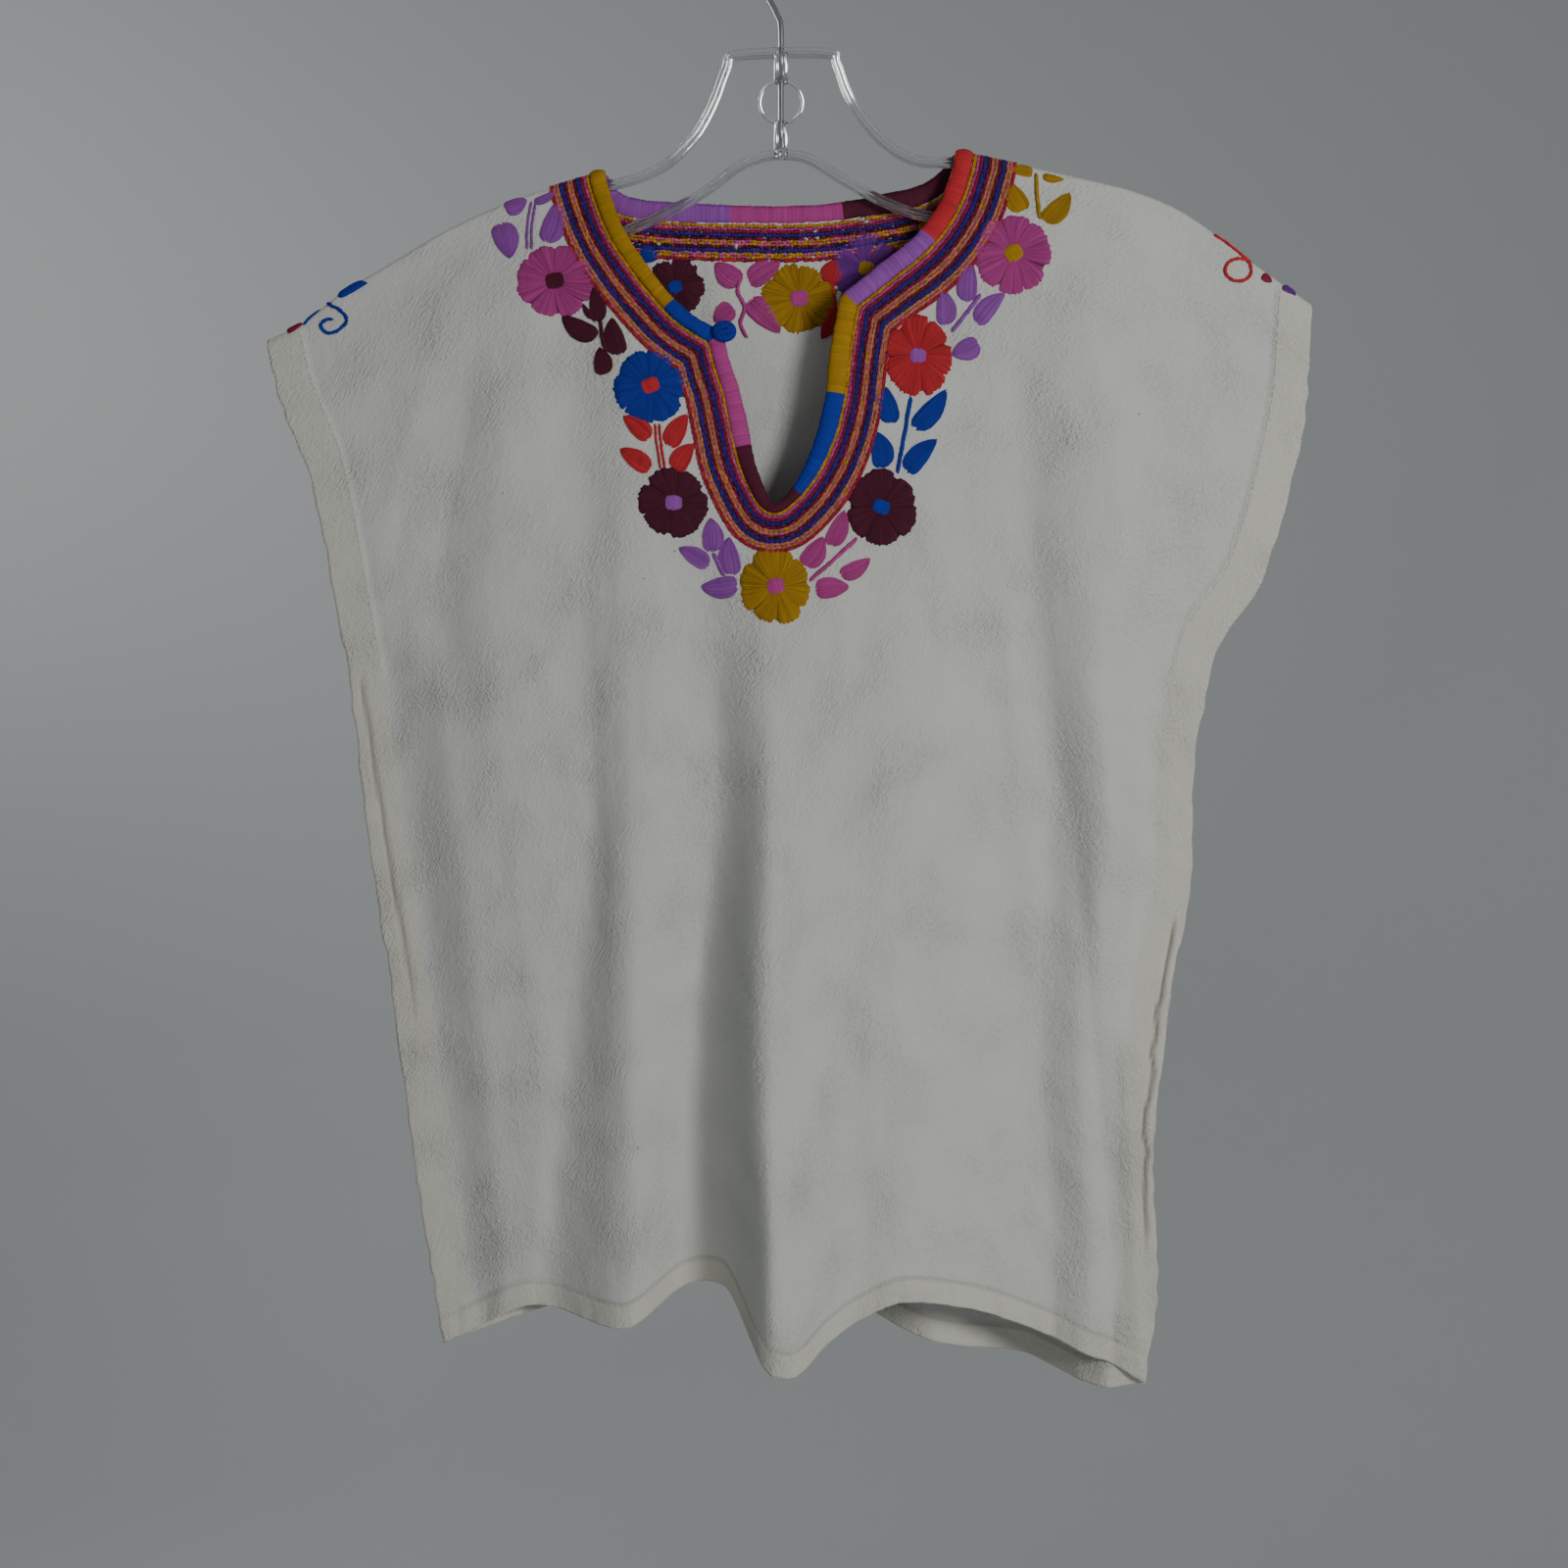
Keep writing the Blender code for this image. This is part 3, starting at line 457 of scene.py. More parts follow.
SLEEVE_STROKES = (
    Stroke("scroll_left", Yarn.BLUE,
           (Point(-254.1, -220.0), Point(-246.6, -224.3), Point(-243.7, -229.6), Point(-248.6, -235.0),
            Point(-254.7, -236.4), Point(-258.3, -232.0), Point(-254.6, -228.6), Point(-251.6, -229.0))),
    Stroke("line_left", Yarn.BLUE, (Point(-258.0, -220.6), Point(-262.4, -225.8), Point(-267.3, -231.6))),
    Stroke("line_right", Yarn.CORAL, (Point(243.0, -181.6), Point(252.6, -188.4), Point(262.9, -197.0))),
)
SLEEVE_LEAVES = (
    Sprig("leaf_left", Yarn.BLUE, (), (Leaf(-249.2, -216.2, -231.4, -208.0, 7.0),)),
    Sprig("tip_left", Yarn.CRIMSON, (), (Leaf(-277.2, -236.2, -267.6, -230.6, 5.0),)),
    Sprig("dot_right", Yarn.CRIMSON, (), (Leaf(269.6, -203.6, 275.6, -208.0, 4.4),)),
    Sprig("bit_right", Yarn.PURPLE, (), (Leaf(280.4, -210.2, 288.8, -215.8, 5.0),)),
)
RING_MIDDLE = Point(256.6, -201.0)
RING_SIZE = 7.4


def ease(t: Array) -> Array:
    """Rise from 0 to 1, flat at both ends."""
    t = np.clip(t, 0.0, 1.0)
    return t * t * (3 - 2 * t)


def hill(distance: Array, reach: float) -> Array:
    """A bell of height 1 over a distance, nought past its reach."""
    return np.clip(1 - (distance / reach) ** 2, 0.0, 1.0) ** 2


def unit(vectors: Array) -> Array:
    """The vectors at length 1."""
    return vectors / np.maximum(np.linalg.norm(vectors, axis=-1, keepdims=True), 1e-9)


@dataclass(frozen=True)
class Track:
    """A smooth line through pairs of place and value that never overshoots them."""

    places: tuple[float, ...]
    values: tuple[float, ...]

    @classmethod
    def column(cls, rows: Sequence[tuple], name: str) -> Track:
        """The named column of a table over its first column."""
        ordered = sorted(rows)
        return cls(tuple(row[0] for row in ordered), tuple(getattr(row, name) for row in ordered))

    def at(self, where: Array) -> Array:
        """Values at the places asked for."""
        places, values = np.array(self.places, float), np.array(self.values, float)
        rises = np.diff(values) / np.diff(places)
        before, after = rises[:-1], rises[1:]
        agree = before * after > 0
        total = np.where(agree, before + after, 1.0)
        slopes = np.concatenate([rises[:1], np.where(agree, 2 * before * after / total, 0.0), rises[-1:]])
        where = np.clip(where, places[0], places[-1])
        i = np.clip(np.searchsorted(places, where, side="right") - 1, 0, len(rises) - 1)
        span = places[i + 1] - places[i]
        t = (where - places[i]) / span
        value = (2 * t**3 - 3 * t**2 + 1) * values[i] + (3 * t**2 - 2 * t**3) * values[i + 1]
        return value + span * ((t**3 - 2 * t**2 + t) * slopes[i] + (t**3 - t**2) * slopes[i + 1])


@dataclass(frozen=True)
class Ripple:
    """Smooth uneven heights between -1 and 1, from a seeded lattice."""

    seed: int
    size: int = 61

    def at(self, u: Array, v: Array) -> Array:
        """Heights at places given in lattice steps."""
        lattice = np.random.default_rng(self.seed).uniform(-1, 1, (self.size, self.size))
        i, j = np.floor(u).astype(int), np.floor(v).astype(int)
        s, t = ease(u - i), ease(v - j)
        i0, i1, j0, j1 = i % self.size, (i + 1) % self.size, j % self.size, (j + 1) % self.size
        low = lattice[i0, j0] * (1 - s) + lattice[i1, j0] * s
        high = lattice[i0, j1] * (1 - s) + lattice[i1, j1] * s
        return low * (1 - t) + high * t


class Drape:
    """The hung cloth: where each place of a half lies in space, in millimetres."""

    shoulder = Track.column(SHOULDER, "z")
    left_edge = Track.column(LEFT_EDGE, "x")
    right_edge = Track.column(RIGHT_EDGE, "x")
    hems = {Face.FRONT: Track.column(FRONT_HEM, "z"), Face.BACK: Track.column(BACK_HEM, "z")}
    folds = {Face.FRONT: FRONT_FOLDS, Face.BACK: BACK_FOLDS}
    creases = {Face.FRONT: FRONT_CREASES, Face.BACK: BACK_CREASES}

    def crown_foot(self, across: Array) -> Array:
        """Height of the crown's lower edge."""
        left, right = LEFT_EDGE[0].x, RIGHT_EDGE[0].x
        return self.shoulder.at(left + (right - left) * across) - CROWN_RADIUS

    def depth(self, face: Face, across: Array, down: Array, z: Array, width: Array) -> Array:
        """How far the main folds stand out from the middle."""
        strip = SEAM_WIDTH / width
        level = np.maximum(down, LEVELS[0])
        edges = [Track.column(side, "open").at(z) + face.value * Track.column(side, "forward").at(z)
                 for side in (LEFT_SIDE, RIGHT_SIDE)]
        places, depths = [np.zeros_like(across), strip], [edges[0], edges[0]]
        for fold in self.folds[face]:
            places.append(Track(LEVELS, fold.place).at(level))
            depths.append(Track(LEVELS, fold.depth).at(level))
        places += [1 - strip, np.full_like(across, 1.0)]
        depths += [edges[1], edges[1]]
        out = np.where(across < 0.5, edges[0], edges[1])
        for k in range(len(places) - 1):
            inside = (places[k] <= across) & (across < places[k + 1])
            t = ease((across - places[k]) / (places[k + 1] - places[k]))
            out = np.where(inside, depths[k] + (depths[k + 1] - depths[k]) * t, out)
        return CROWN_REACH + (out - CROWN_REACH) * ease(down / LEVELS[0])

    def relief(self, face: Face, across: Array, down: Array, x: Array, z: Array, width: Array) -> Array:
        """The small forms on the folds: turned hems, seam puckers, soft creases and crinkle."""
        from_left, from_right = across * width, (1 - across) * width
        from_side = np.minimum(from_left, from_right)
        above_hem = z - self.hems[face].at(across)
        seed = 10 if face is Face.FRONT else 40
        inner = ease((from_side - 14.0) / 26.0) * ease((above_hem - 10.0) / 20.0) * ease(down / 0.05)
        out = np.zeros_like(x)
        for crease in self.creases[face]:
            ordered = sorted(zip(crease.z, crease.x, crease.height))
            heights, middles, rises = zip(*ordered)
            away = x - Track(heights, middles).at(z)
            reach = np.where(away < 0, crease.left, crease.right)
            within = (z > heights[0] - 8) & (z < heights[-1])
            out += within * Track(heights, rises).at(z) * np.exp(-np.abs(away) / reach)
        out += inner * 0.55 * Ripple(seed).at(x / 17.0, z / 58.0)
        out += inner * 0.32 * Ripple(seed + 1).at(x / 7.0 + z / 60.0, z / 21.0)
        out += inner * 0.2 * Ripple(seed + 2).at((x + 0.5 * z) / 5.0, (z - 0.5 * x) / 9.0)

        sleeve = ease((z - ARMHOLE_FOOT) / 8.0 + 0.5)
        step = ease((SEAM_WIDTH - from_side) / 1.4 + 0.5)
        crevice = hill(from_side - SEAM_WIDTH - 1.6, 2.2)
        out += sleeve * (HEM_STEP * step - 0.45 * crevice * ease(down / 0.02))

        side = 1 - sleeve
        along = z + 3.0 * Ripple(seed + 3).at(z / 15.0, from_side / 30.0)
        pucker = 0.5 + 0.5 * Ripple(seed + 4).at(along / 7.0, from_side / 16.0)
        out += side * 1.3 * pucker * hill(from_side - 9.0, 20.0)
        left_crack, right_crack = self.cracks(from_left, from_right, z)
        lip = hill(from_right - self.crack_right(z) + 2.0, 2.2) * ease((z + 750.0) / 40.0)
        lip = lip * ease((-566.0 - z) / 14.0)
        out += side * (0.9 * lip - 1.2 * left_crack - 1.2 * right_crack)

        band = ease((HEM_WIDTH - above_hem) / 1.6 + 0.5)
        groove = hill(above_hem - HEM_WIDTH, 2.0)
        gather = Ripple(seed + 5).at((x + 2.5 * Ripple(seed + 6).at(x / 23.0, z / 40.0)) / 4.2, above_hem / 30.0)
        deep = 0.55 + 0.45 * Ripple(seed + 7).at(x / 41.0, 0 * z)
        out += 0.35 * band - 0.5 * groove + 1.5 * deep * gather * hill(above_hem - 6.0, 17.0) * ease(from_side / 12.0)
        return out

    def cracks(self, from_left: Array, from_right: Array, z: Array) -> tuple[Array, Array]:
        """Where the side seams' lines lie, on the left and on the right: sunk as grooves, with their dark painted as
        shade.
        """
        left = hill(from_left - self.crack_left(z), 1.7) * ease((z + 640.0) / 60.0)
        right = hill(from_right - self.crack_right(z), 1.7) * ease((z + 752.0) / 20.0) * ease((-560.0 - z) / 14.0)
        return left, right

    @staticmethod
    def crack_left(z: Array) -> Array:
        """How far in from the left edge the side seam's line lies."""
        return Track((-640, -520, ARMHOLE_FOOT), (11.4, 9.4, 6.6)).at(z) + 0.5 * Ripple(71).at(z / 13.0, 0 * z)

    @staticmethod
    def crack_right(z: Array) -> Array:
        """How far in from the right edge the rolled seam's line lies."""
        return 5.0 + 1.4 * Ripple(72).at(z / 11.0, 0 * z)

    def place(self, face: Face, across: Array, run: Array) -> Array:
        """Points of the outer face.

        Args:
            face: the half of the cloth.
            across: fraction of the way from the left edge to the right one.
            run: from -1 at the middle of the shoulder fold and 0 at the crown's foot to 1 at the hem.

        Returns:
            An array of points in millimetres.
        """
        down = np.clip(run, 0.0, 1.0)
        left, right = self.left_edge.at(down), self.right_edge.at(down)
        width = right - left
        foot = self.crown_foot(across)
        z = foot + (self.hems[face].at(across) - foot) * down
        edge_wave = 0.8 * Ripple(81).at(z / 8.0, 0 * z) * ease(down / 0.05)
        x = left + width * across + edge_wave * (hill(across * width, 6.0) - hill((1 - across) * width, 6.0))
        out = self.depth(face, across, down, z, width)
        out = out + self.relief(face, across, down, x, z, width)
        arc = (1 + np.clip(run, -1.0, 0.0)) * CROWN_LENGTH
        turn = np.clip(arc - CROWN_FLAT, 0.0, None) / CROWN_RADIUS
        crown_out = np.minimum(arc / CROWN_FLAT, 1.0) * (CROWN_FLAT + SEAM_HALF_GAP) + CROWN_RADIUS * np.sin(turn)
        crown_z = foot + CROWN_RADIUS * np.cos(turn)
        out = np.where(run < 0, crown_out, out)
        z = np.where(run < 0, crown_z, z)
        return np.stack([x, -face.value * out, z], axis=-1)

    def find(self, face: Face, x: Array, z: Array) -> tuple[Array, Array]:
        """Fractions across and down of what shows at x and z; above the crown's foot, z counts along the cloth."""
        across = (x - LEFT_EDGE[0].x) / (RIGHT_EDGE[0].x - LEFT_EDGE[0].x)
        down = np.zeros_like(x)
        for _ in range(9):
            foot = self.crown_foot(across)
            down = np.clip((z - foot) / (self.hems[face].at(across) - foot), 0.0, 1.0)
            left, right = self.left_edge.at(down), self.right_edge.at(down)
            across = (x - left) / (right - left)
        above = np.clip((z - self.crown_foot(across)) / CROWN_LENGTH, 0.0, 1.0)
        return across, np.where(above > 0, -above, down)

    def lay(self, face: Face, flat: Array, lift: Array | float, inside: bool = False) -> tuple[Array, Array]:
        """Lay places of the front view on the cloth.

        Args:
            face: the half of the cloth.
            flat: x and z of each place.
            lift: how far off the cloth each point stands.
            inside: whether to lay on the inner face.

        Returns:
            The points, and the way out from the cloth at each.
        """
        across, run = self.find(face, flat[:, 0], flat[:, 1])
        here = self.place(face, across, run)
        step_across, step_run = 0.0016, 0.0014
        sideways = self.place(face, across + step_across, run) - self.place(face, across - step_across, run)
        crown_step = np.where(run < 0, 0.08, step_run)
        upward = self.place(face, across, run - crown_step) - self.place(face, across, run + step_run)
        out = unit(np.cross(sideways, upward)) * face.value
        if inside:
            here, out = here - out * CLOTH_THIN, -out
        return here + out * np.reshape(lift, (-1, 1)), out


DRAPE = Drape()


def seen(face: Face, places: Sequence[Point] | Array) -> Array:
    """Where places read in the view lie on the cloth, which is nearer or farther than the hanger's middle."""
    flat = np.array(places, float)
    across, run = DRAPE.find(face, flat[:, 0], flat[:, 1])
    depth = DRAPE.place(face, across, run)[:, 1]
    middle = np.array(VIEW_MIDDLE)
    return middle + (flat - middle) * ((VIEW_DISTANCE + depth) / VIEW_DISTANCE)[:, None]


@dataclass(frozen=True)
class Path:
    """A line in the front view, measured along its length."""

    points: Array

    @classmethod
    def through(cls, points: Sequence[Point], step: float = 1.0) -> Path:
        """A smooth curve through a few points, at even steps."""
        given = np.array(points, float)
        if len(given) == 2:
            count = max(int(np.linalg.norm(given[1] - given[0]) / step), 2)
            return cls(given[0] + (given[1] - given[0]) * np.linspace(0, 1, count + 1)[:, None])
        lengths = np.concatenate([[0.0], np.cumsum(np.linalg.norm(np.diff(given, axis=0), axis=1))])
        at = np.linspace(0, lengths[-1], max(round(lengths[-1] / step), 2) + 1)
        i = np.clip(np.searchsorted(lengths, at, side="right") - 1, 0, len(given) - 2)
        t = ((at - lengths[i]) / (lengths[i + 1] - lengths[i]))[:, None]
        p, q = given[np.maximum(i - 1, 0)], given[i]
        r, s = given[i + 1], given[np.minimum(i + 2, len(given) - 1)]
        return cls(0.5 * (2 * q + (r - p) * t + (2 * p - 5 * q + 4 * r - s) * t**2 + (3 * q - p - 3 * r + s) * t**3))

    @property
    def lengths(self) -> Array:
        """Length up to each point."""
        return np.concatenate([[0.0], np.cumsum(np.linalg.norm(np.diff(self.points, axis=0), axis=1))])

    @property
    def length(self) -> float:
        """The whole length."""
        return float(self.lengths[-1])

    def at(self, along: Array) -> Array:
        """Points at the given lengths."""
        return np.stack([np.interp(along, self.lengths, self.points[:, k]) for k in (0, 1)], axis=-1)

    def heading(self, along: Array, reach: float = 1.5) -> Array:
        """The way the line runs at the given lengths, averaged over a reach either side."""
        return unit(self.at(along + reach) - self.at(along - reach))

    def beside(self, along: Array, distance: Array | float) -> Array:
        """Points off to the line's right, seen from the front."""
        heading = self.heading(along)
        side = np.stack([heading[:, 1], -heading[:, 0]], axis=-1)
        return self.at(along) + side * np.reshape(distance, (-1, 1))

    def nearest(self, place: Point) -> float:
        """Length at the point nearest a place."""
        gaps = np.linalg.norm(self.points - np.array(place), axis=1)
        return float(self.lengths[int(np.argmin(gaps))])


@dataclass(frozen=True)
class Neck:
    """The lines that run round the opening on one half of the cloth."""

    face: Face

    @property
    def edge(self) -> Array:
        """The opening's own edge from the left shoulder to the right one."""
        runs = (NECK_LEFT, NECK_SLIT, NECK_RIGHT) if self.face is Face.FRONT else (NECK_BACK,)
        parts = [Path.through(run).points for run in runs]
        return seen(self.face, np.vstack([parts[0], *(part[1:] for part in parts[1:])]))

    def girth(self, points: Array, distance: float) -> Array:
        """The true distance into the cloth at points of the edge, where the band is wider or narrower."""
        if self.face is Face.BACK:
            tables = (BACK_GIRTHS, BACK_GIRTHS)
        else:
            tables = (LEFT_GIRTHS, RIGHT_GIRTHS)
        made = []
        for table in tables:
            binding = Track.column(table, "binding").at(points[:, 1])
            rows = Track.column(table, "rows").at(points[:, 1])
            made.append(binding * min(distance / BINDING_WIDTH, 1.0)
                        + rows * max(distance - BINDING_WIDTH, 0.0) / (BRAID_FAR - BINDING_WIDTH))
        share = ease((points[:, 0] + 12.0) / 24.0)
        return made[0] * (1 - share) + made[1] * share

    def path(self, distance: float) -> Path:
        """The line at a distance into the cloth, from the shoulder fold's middle to its other end."""
        edge = self.edge
        along = np.diff(edge, axis=0)
        before, after = np.vstack([along[:1], along]), np.vstack([along, along[-1:]])
        sides = [unit(np.stack([v[:, 1], -v[:, 0]], axis=-1)) for v in (before, after)]
        middle = unit(sides[0] + sides[1])
        apart = self.girth(edge, distance)
        moved = edge + middle * (apart / np.sum(middle * sides[0], axis=1))[:, None]
        start, run = edge[:-1][None], along[None]
        share = np.sum((moved[:, None] - start) * run, axis=2) / np.sum(run * run, axis=2)
        foot = start + np.clip(share, 0, 1)[..., None] * run
        gaps = (np.linalg.norm(moved[:, None] - foot, axis=2) / apart[None, :-1]).min(axis=1)
        below = moved[:, 1] < DRAPE.shoulder.at(moved[:, 0]) - CROWN_RADIUS - CROWN_FLAT
        kept = moved[(gaps > 0.975) & below]
        ends = [self.fold_point(edge[k], float(apart[k])) for k in (0, -1)]
        rough = Path(np.vstack([ends[0], kept, ends[1]]))
        even = rough.at(np.linspace(0, rough.length, round(rough.length)))
        for _ in range(3):
            even[1:-1] = 0.25 * even[:-2] + 0.5 * even[1:-1] + 0.25 * even[2:]
        return Path(even)

    @staticmethod
    def fold_point(corner: Array, distance: float) -> Array:
        """Where the shoulder fold is that far from the neck's corner."""
        way = math.copysign(1.0, corner[0])
        x = corner[0] + way * np.linspace(0, distance, 60)
        z = DRAPE.shoulder.at(x)
        walked = np.concatenate([[0.0], np.cumsum(np.hypot(np.diff(x), np.diff(z)))])
        there = float(np.interp(distance, walked, x))
        return np.array([there, float(DRAPE.shoulder.at(np.array(there))) + CROWN_LENGTH - CROWN_RADIUS])


def coordinates(mesh: bpy.types.Mesh) -> Array:
    """The mesh's points."""
    flat = np.empty(len(mesh.vertices) * 3, np.float32)
    mesh.vertices.foreach_get("co", flat)
    return flat.reshape(-1, 3).astype(float)


def move_to(mesh: bpy.types.Mesh, points: Array) -> None:
    """Put the mesh's points at places given in millimetres."""
    mesh.vertices.foreach_set("co", (points * MM).astype(np.float32).ravel())
    mesh.update()


def face_out(mesh: bpy.types.Mesh, out: Array) -> None:
    """Turn the faces the way that out points at most vertices."""
    normals = np.empty(len(mesh.vertices) * 3, np.float32)
    mesh.vertices.foreach_get("normal", normals)
    if np.sum(normals.reshape(-1, 3) * out) < 0:
        mesh.flip_normals()


def tint(mesh: bpy.types.Mesh, colours: Array) -> None:
    """Store a colour on each point."""
    layer = mesh.attributes.new("tint", "FLOAT_COLOR", "POINT")
    full = np.ones((len(mesh.vertices), 4), np.float32)
    full[:, :3] = np.clip(colours, 0, 1)
    layer.data.foreach_set("color", full.ravel())


def measure(mesh: bpy.types.Mesh, name: str, values: Array) -> None:
    """Store a number on each point."""
    layer = mesh.attributes.new(name, "FLOAT", "POINT")
    layer.data.foreach_set("value", np.asarray(values, np.float32))


def flat_grid(name: str, columns: int, rows: int) -> tuple[bpy.types.Mesh, Array, Array]:
    """A grid with the column and row number of each of its points, rows counted from the top."""
    sheet = bmesh.new()
    bmesh.ops.create_grid(sheet, x_segments=columns, y_segments=rows, size=1.0)
    mesh = bpy.data.meshes.new(name)
    sheet.to_mesh(mesh)
    sheet.free()
    at = coordinates(mesh)
    i = np.rint((at[:, 0] + 1) / 2 * columns).astype(int)
    j = np.rint((1 - at[:, 1]) / 2 * rows).astype(int)
    return mesh, i, j


def weld(mesh: bpy.types.Mesh, caps: bool) -> None:
    """Merge the points that meet, and close the open ends if asked."""
    shape = bmesh.new()
    shape.from_mesh(mesh)
    bmesh.ops.remove_doubles(shape, verts=shape.verts, dist=1e-6)
    if caps:
        bmesh.ops.holes_fill(shape, edges=[edge for edge in shape.edges if edge.is_boundary], sides=0)
    bmesh.ops.recalc_face_normals(shape, faces=shape.faces)
    shape.to_mesh(mesh)
    shape.free()


def add(name: str, mesh: bpy.types.Mesh, finish: bpy.types.Material) -> bpy.types.Object:
    """Put a mesh into the scene, shaded smooth, riding on the part's one body."""
    mesh.materials.append(finish)
    mesh.shade_smooth()
    made = bpy.data.objects.new(name, mesh)
    bpy.context.scene.collection.objects.link(made)
    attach(made, "root")
    return made


def report(made: bpy.types.Object) -> bpy.types.Object:
    """Log a finished piece."""
    LOG.info("%s: %d points, %d faces", made.name, len(made.data.vertices), len(made.data.polygons))
    return made


class Ring(NamedTuple):
    """The places round a bent thread or roll: middle, sideways, outwards."""

    middle: Array
    side: Array
    out: Array


def frames(middle: Array, ahead: Array, behind: Array, out: Array) -> Ring:
    """Frames along a line from its points just ahead and behind, and the way out from the cloth."""
    side = unit(np.cross(unit(ahead - behind), out))
    return Ring(middle, side, unit(np.cross(side, unit(ahead - behind))))


@dataclass(frozen=True)
class Strands:
    """Many threads of one form, made as an array of a small rod and then bent one by one."""

    name: str
    count: int
    sides: int = 4
    steps: int = 4

    def straight(self) -> tuple[bpy.types.Mesh, Array, Array, Array]:
        """The array of rods, with the thread number, step and section of each point."""
        rod = bmesh.new()
        bmesh.ops.create_cone(rod, cap_ends=True, segments=self.sides, radius1=1.0, radius2=1.0, depth=1.0)
        long_edges = [edge for edge in rod.edges if abs(edge.verts[0].co.z - edge.verts[1].co.z) > 0.5]
        bmesh.ops.subdivide_edges(rod, edges=long_edges, cuts=self.steps - 1)
        mesh = bpy.data.meshes.new(self.name)
        rod.to_mesh(mesh)
        rod.free()
        maker = bpy.data.objects.new(self.name + "_rod", mesh)
        bpy.context.scene.collection.objects.link(maker)
        rows = maker.modifiers.new("rows", "ARRAY")
        rows.count = self.count
        rows.use_relative_offset = False
        rows.use_constant_offset = True
        rows.constant_offset_displace = (0.0, 0.0, 2.0)
        graph = bpy.context.evaluated_depsgraph_get()
        made = bpy.data.meshes.new_from_object(maker.evaluated_get(graph))
        bpy.data.objects.remove(maker)
        bpy.data.meshes.remove(mesh)
        made.name = self.name
        at = coordinates(made)
        which = np.rint(at[:, 2] / 2).astype(int)
        step = np.rint((at[:, 2] - 2 * which + 0.5) * self.steps).astype(int)
        return made, which, step, at[:, :2]

    def bend(self, curve: Callable[[Array, Array], tuple[Array, Array]],
             radius: Callable[[Array, Array], Array], flatness: float,
             colour: Callable[[Array], Array]) -> bpy.types.Mesh:
        """Bend the rods.

        Args:
            curve: points and outward ways, from the thread number and the fraction along.
            radius: radius from the thread number and the fraction along.
            flatness: the thread's height over its width.
            colour: colour from the thread number.

        Returns:
            The mesh, with its colour and its length along each thread stored.
        """
        mesh, which, step, section = self.straight()
        number = np.repeat(np.arange(self.count), self.steps + 1)
        along = np.tile(np.linspace(0, 1, self.steps + 1), self.count)
        middle, out = curve(number, along)
        ring = frames(middle, curve(number, along + 0.03)[0], curve(number, along - 0.03)[0], out)
        thick = radius(number, along)
        at = which * (self.steps + 1) + step
        size = thick[at][:, None]
        move_to(mesh, ring.middle[at] + size * (section[:, :1] * ring.side[at]
                                                + flatness * section[:, 1:] * ring.out[at]))
        tint(mesh, colour(which))
        measure(mesh, "along", along[at] * 3.0)
        shape = bmesh.new()
        shape.from_mesh(mesh)
        bmesh.ops.recalc_face_normals(shape, faces=shape.faces)
        shape.to_mesh(mesh)
        shape.free()
        return mesh


def shades(count: int, seed: int, spread: float) -> Array:
    """A brightness for each of many threads."""
    return 1 + np.random.default_rng(seed).uniform(-spread, spread, count)[:, None]


class Signal:
    """A node's output that takes part in sums and products."""

    def __init__(self, nodes: Nodes, socket: bpy.types.NodeSocket) -> None:
        """Wrap a socket of a node tree."""
        self.nodes = nodes
        self.socket = socket

    def _with(self, operation: str, first: Any, second: Any) -> Signal:
        """The result of one Math node."""
        return self.nodes.make("ShaderNodeMath", {"operation": operation}, {0: first, 1: second})

    def __add__(self, other: Any) -> Signal:
        """Sum."""
        return self._with("ADD", self, other)

    def __sub__(self, other: Any) -> Signal:
        """Difference."""
        return self._with("SUBTRACT", self, other)

    def __rsub__(self, other: Any) -> Signal:
        """Difference from a number."""
        return self._with("SUBTRACT", other, self)

    def __mul__(self, other: Any) -> Signal:
        """Product."""
        return self._with("MULTIPLY", self, other)

    def __pow__(self, other: Any) -> Signal:
        """Power."""
        return self._with("POWER", self, other)

    def over(self, edge: float) -> Signal:
        """One where the value is more than an edge."""
        return self._with("GREATER_THAN", self, edge)

    __radd__ = __add__
    __rmul__ = __mul__


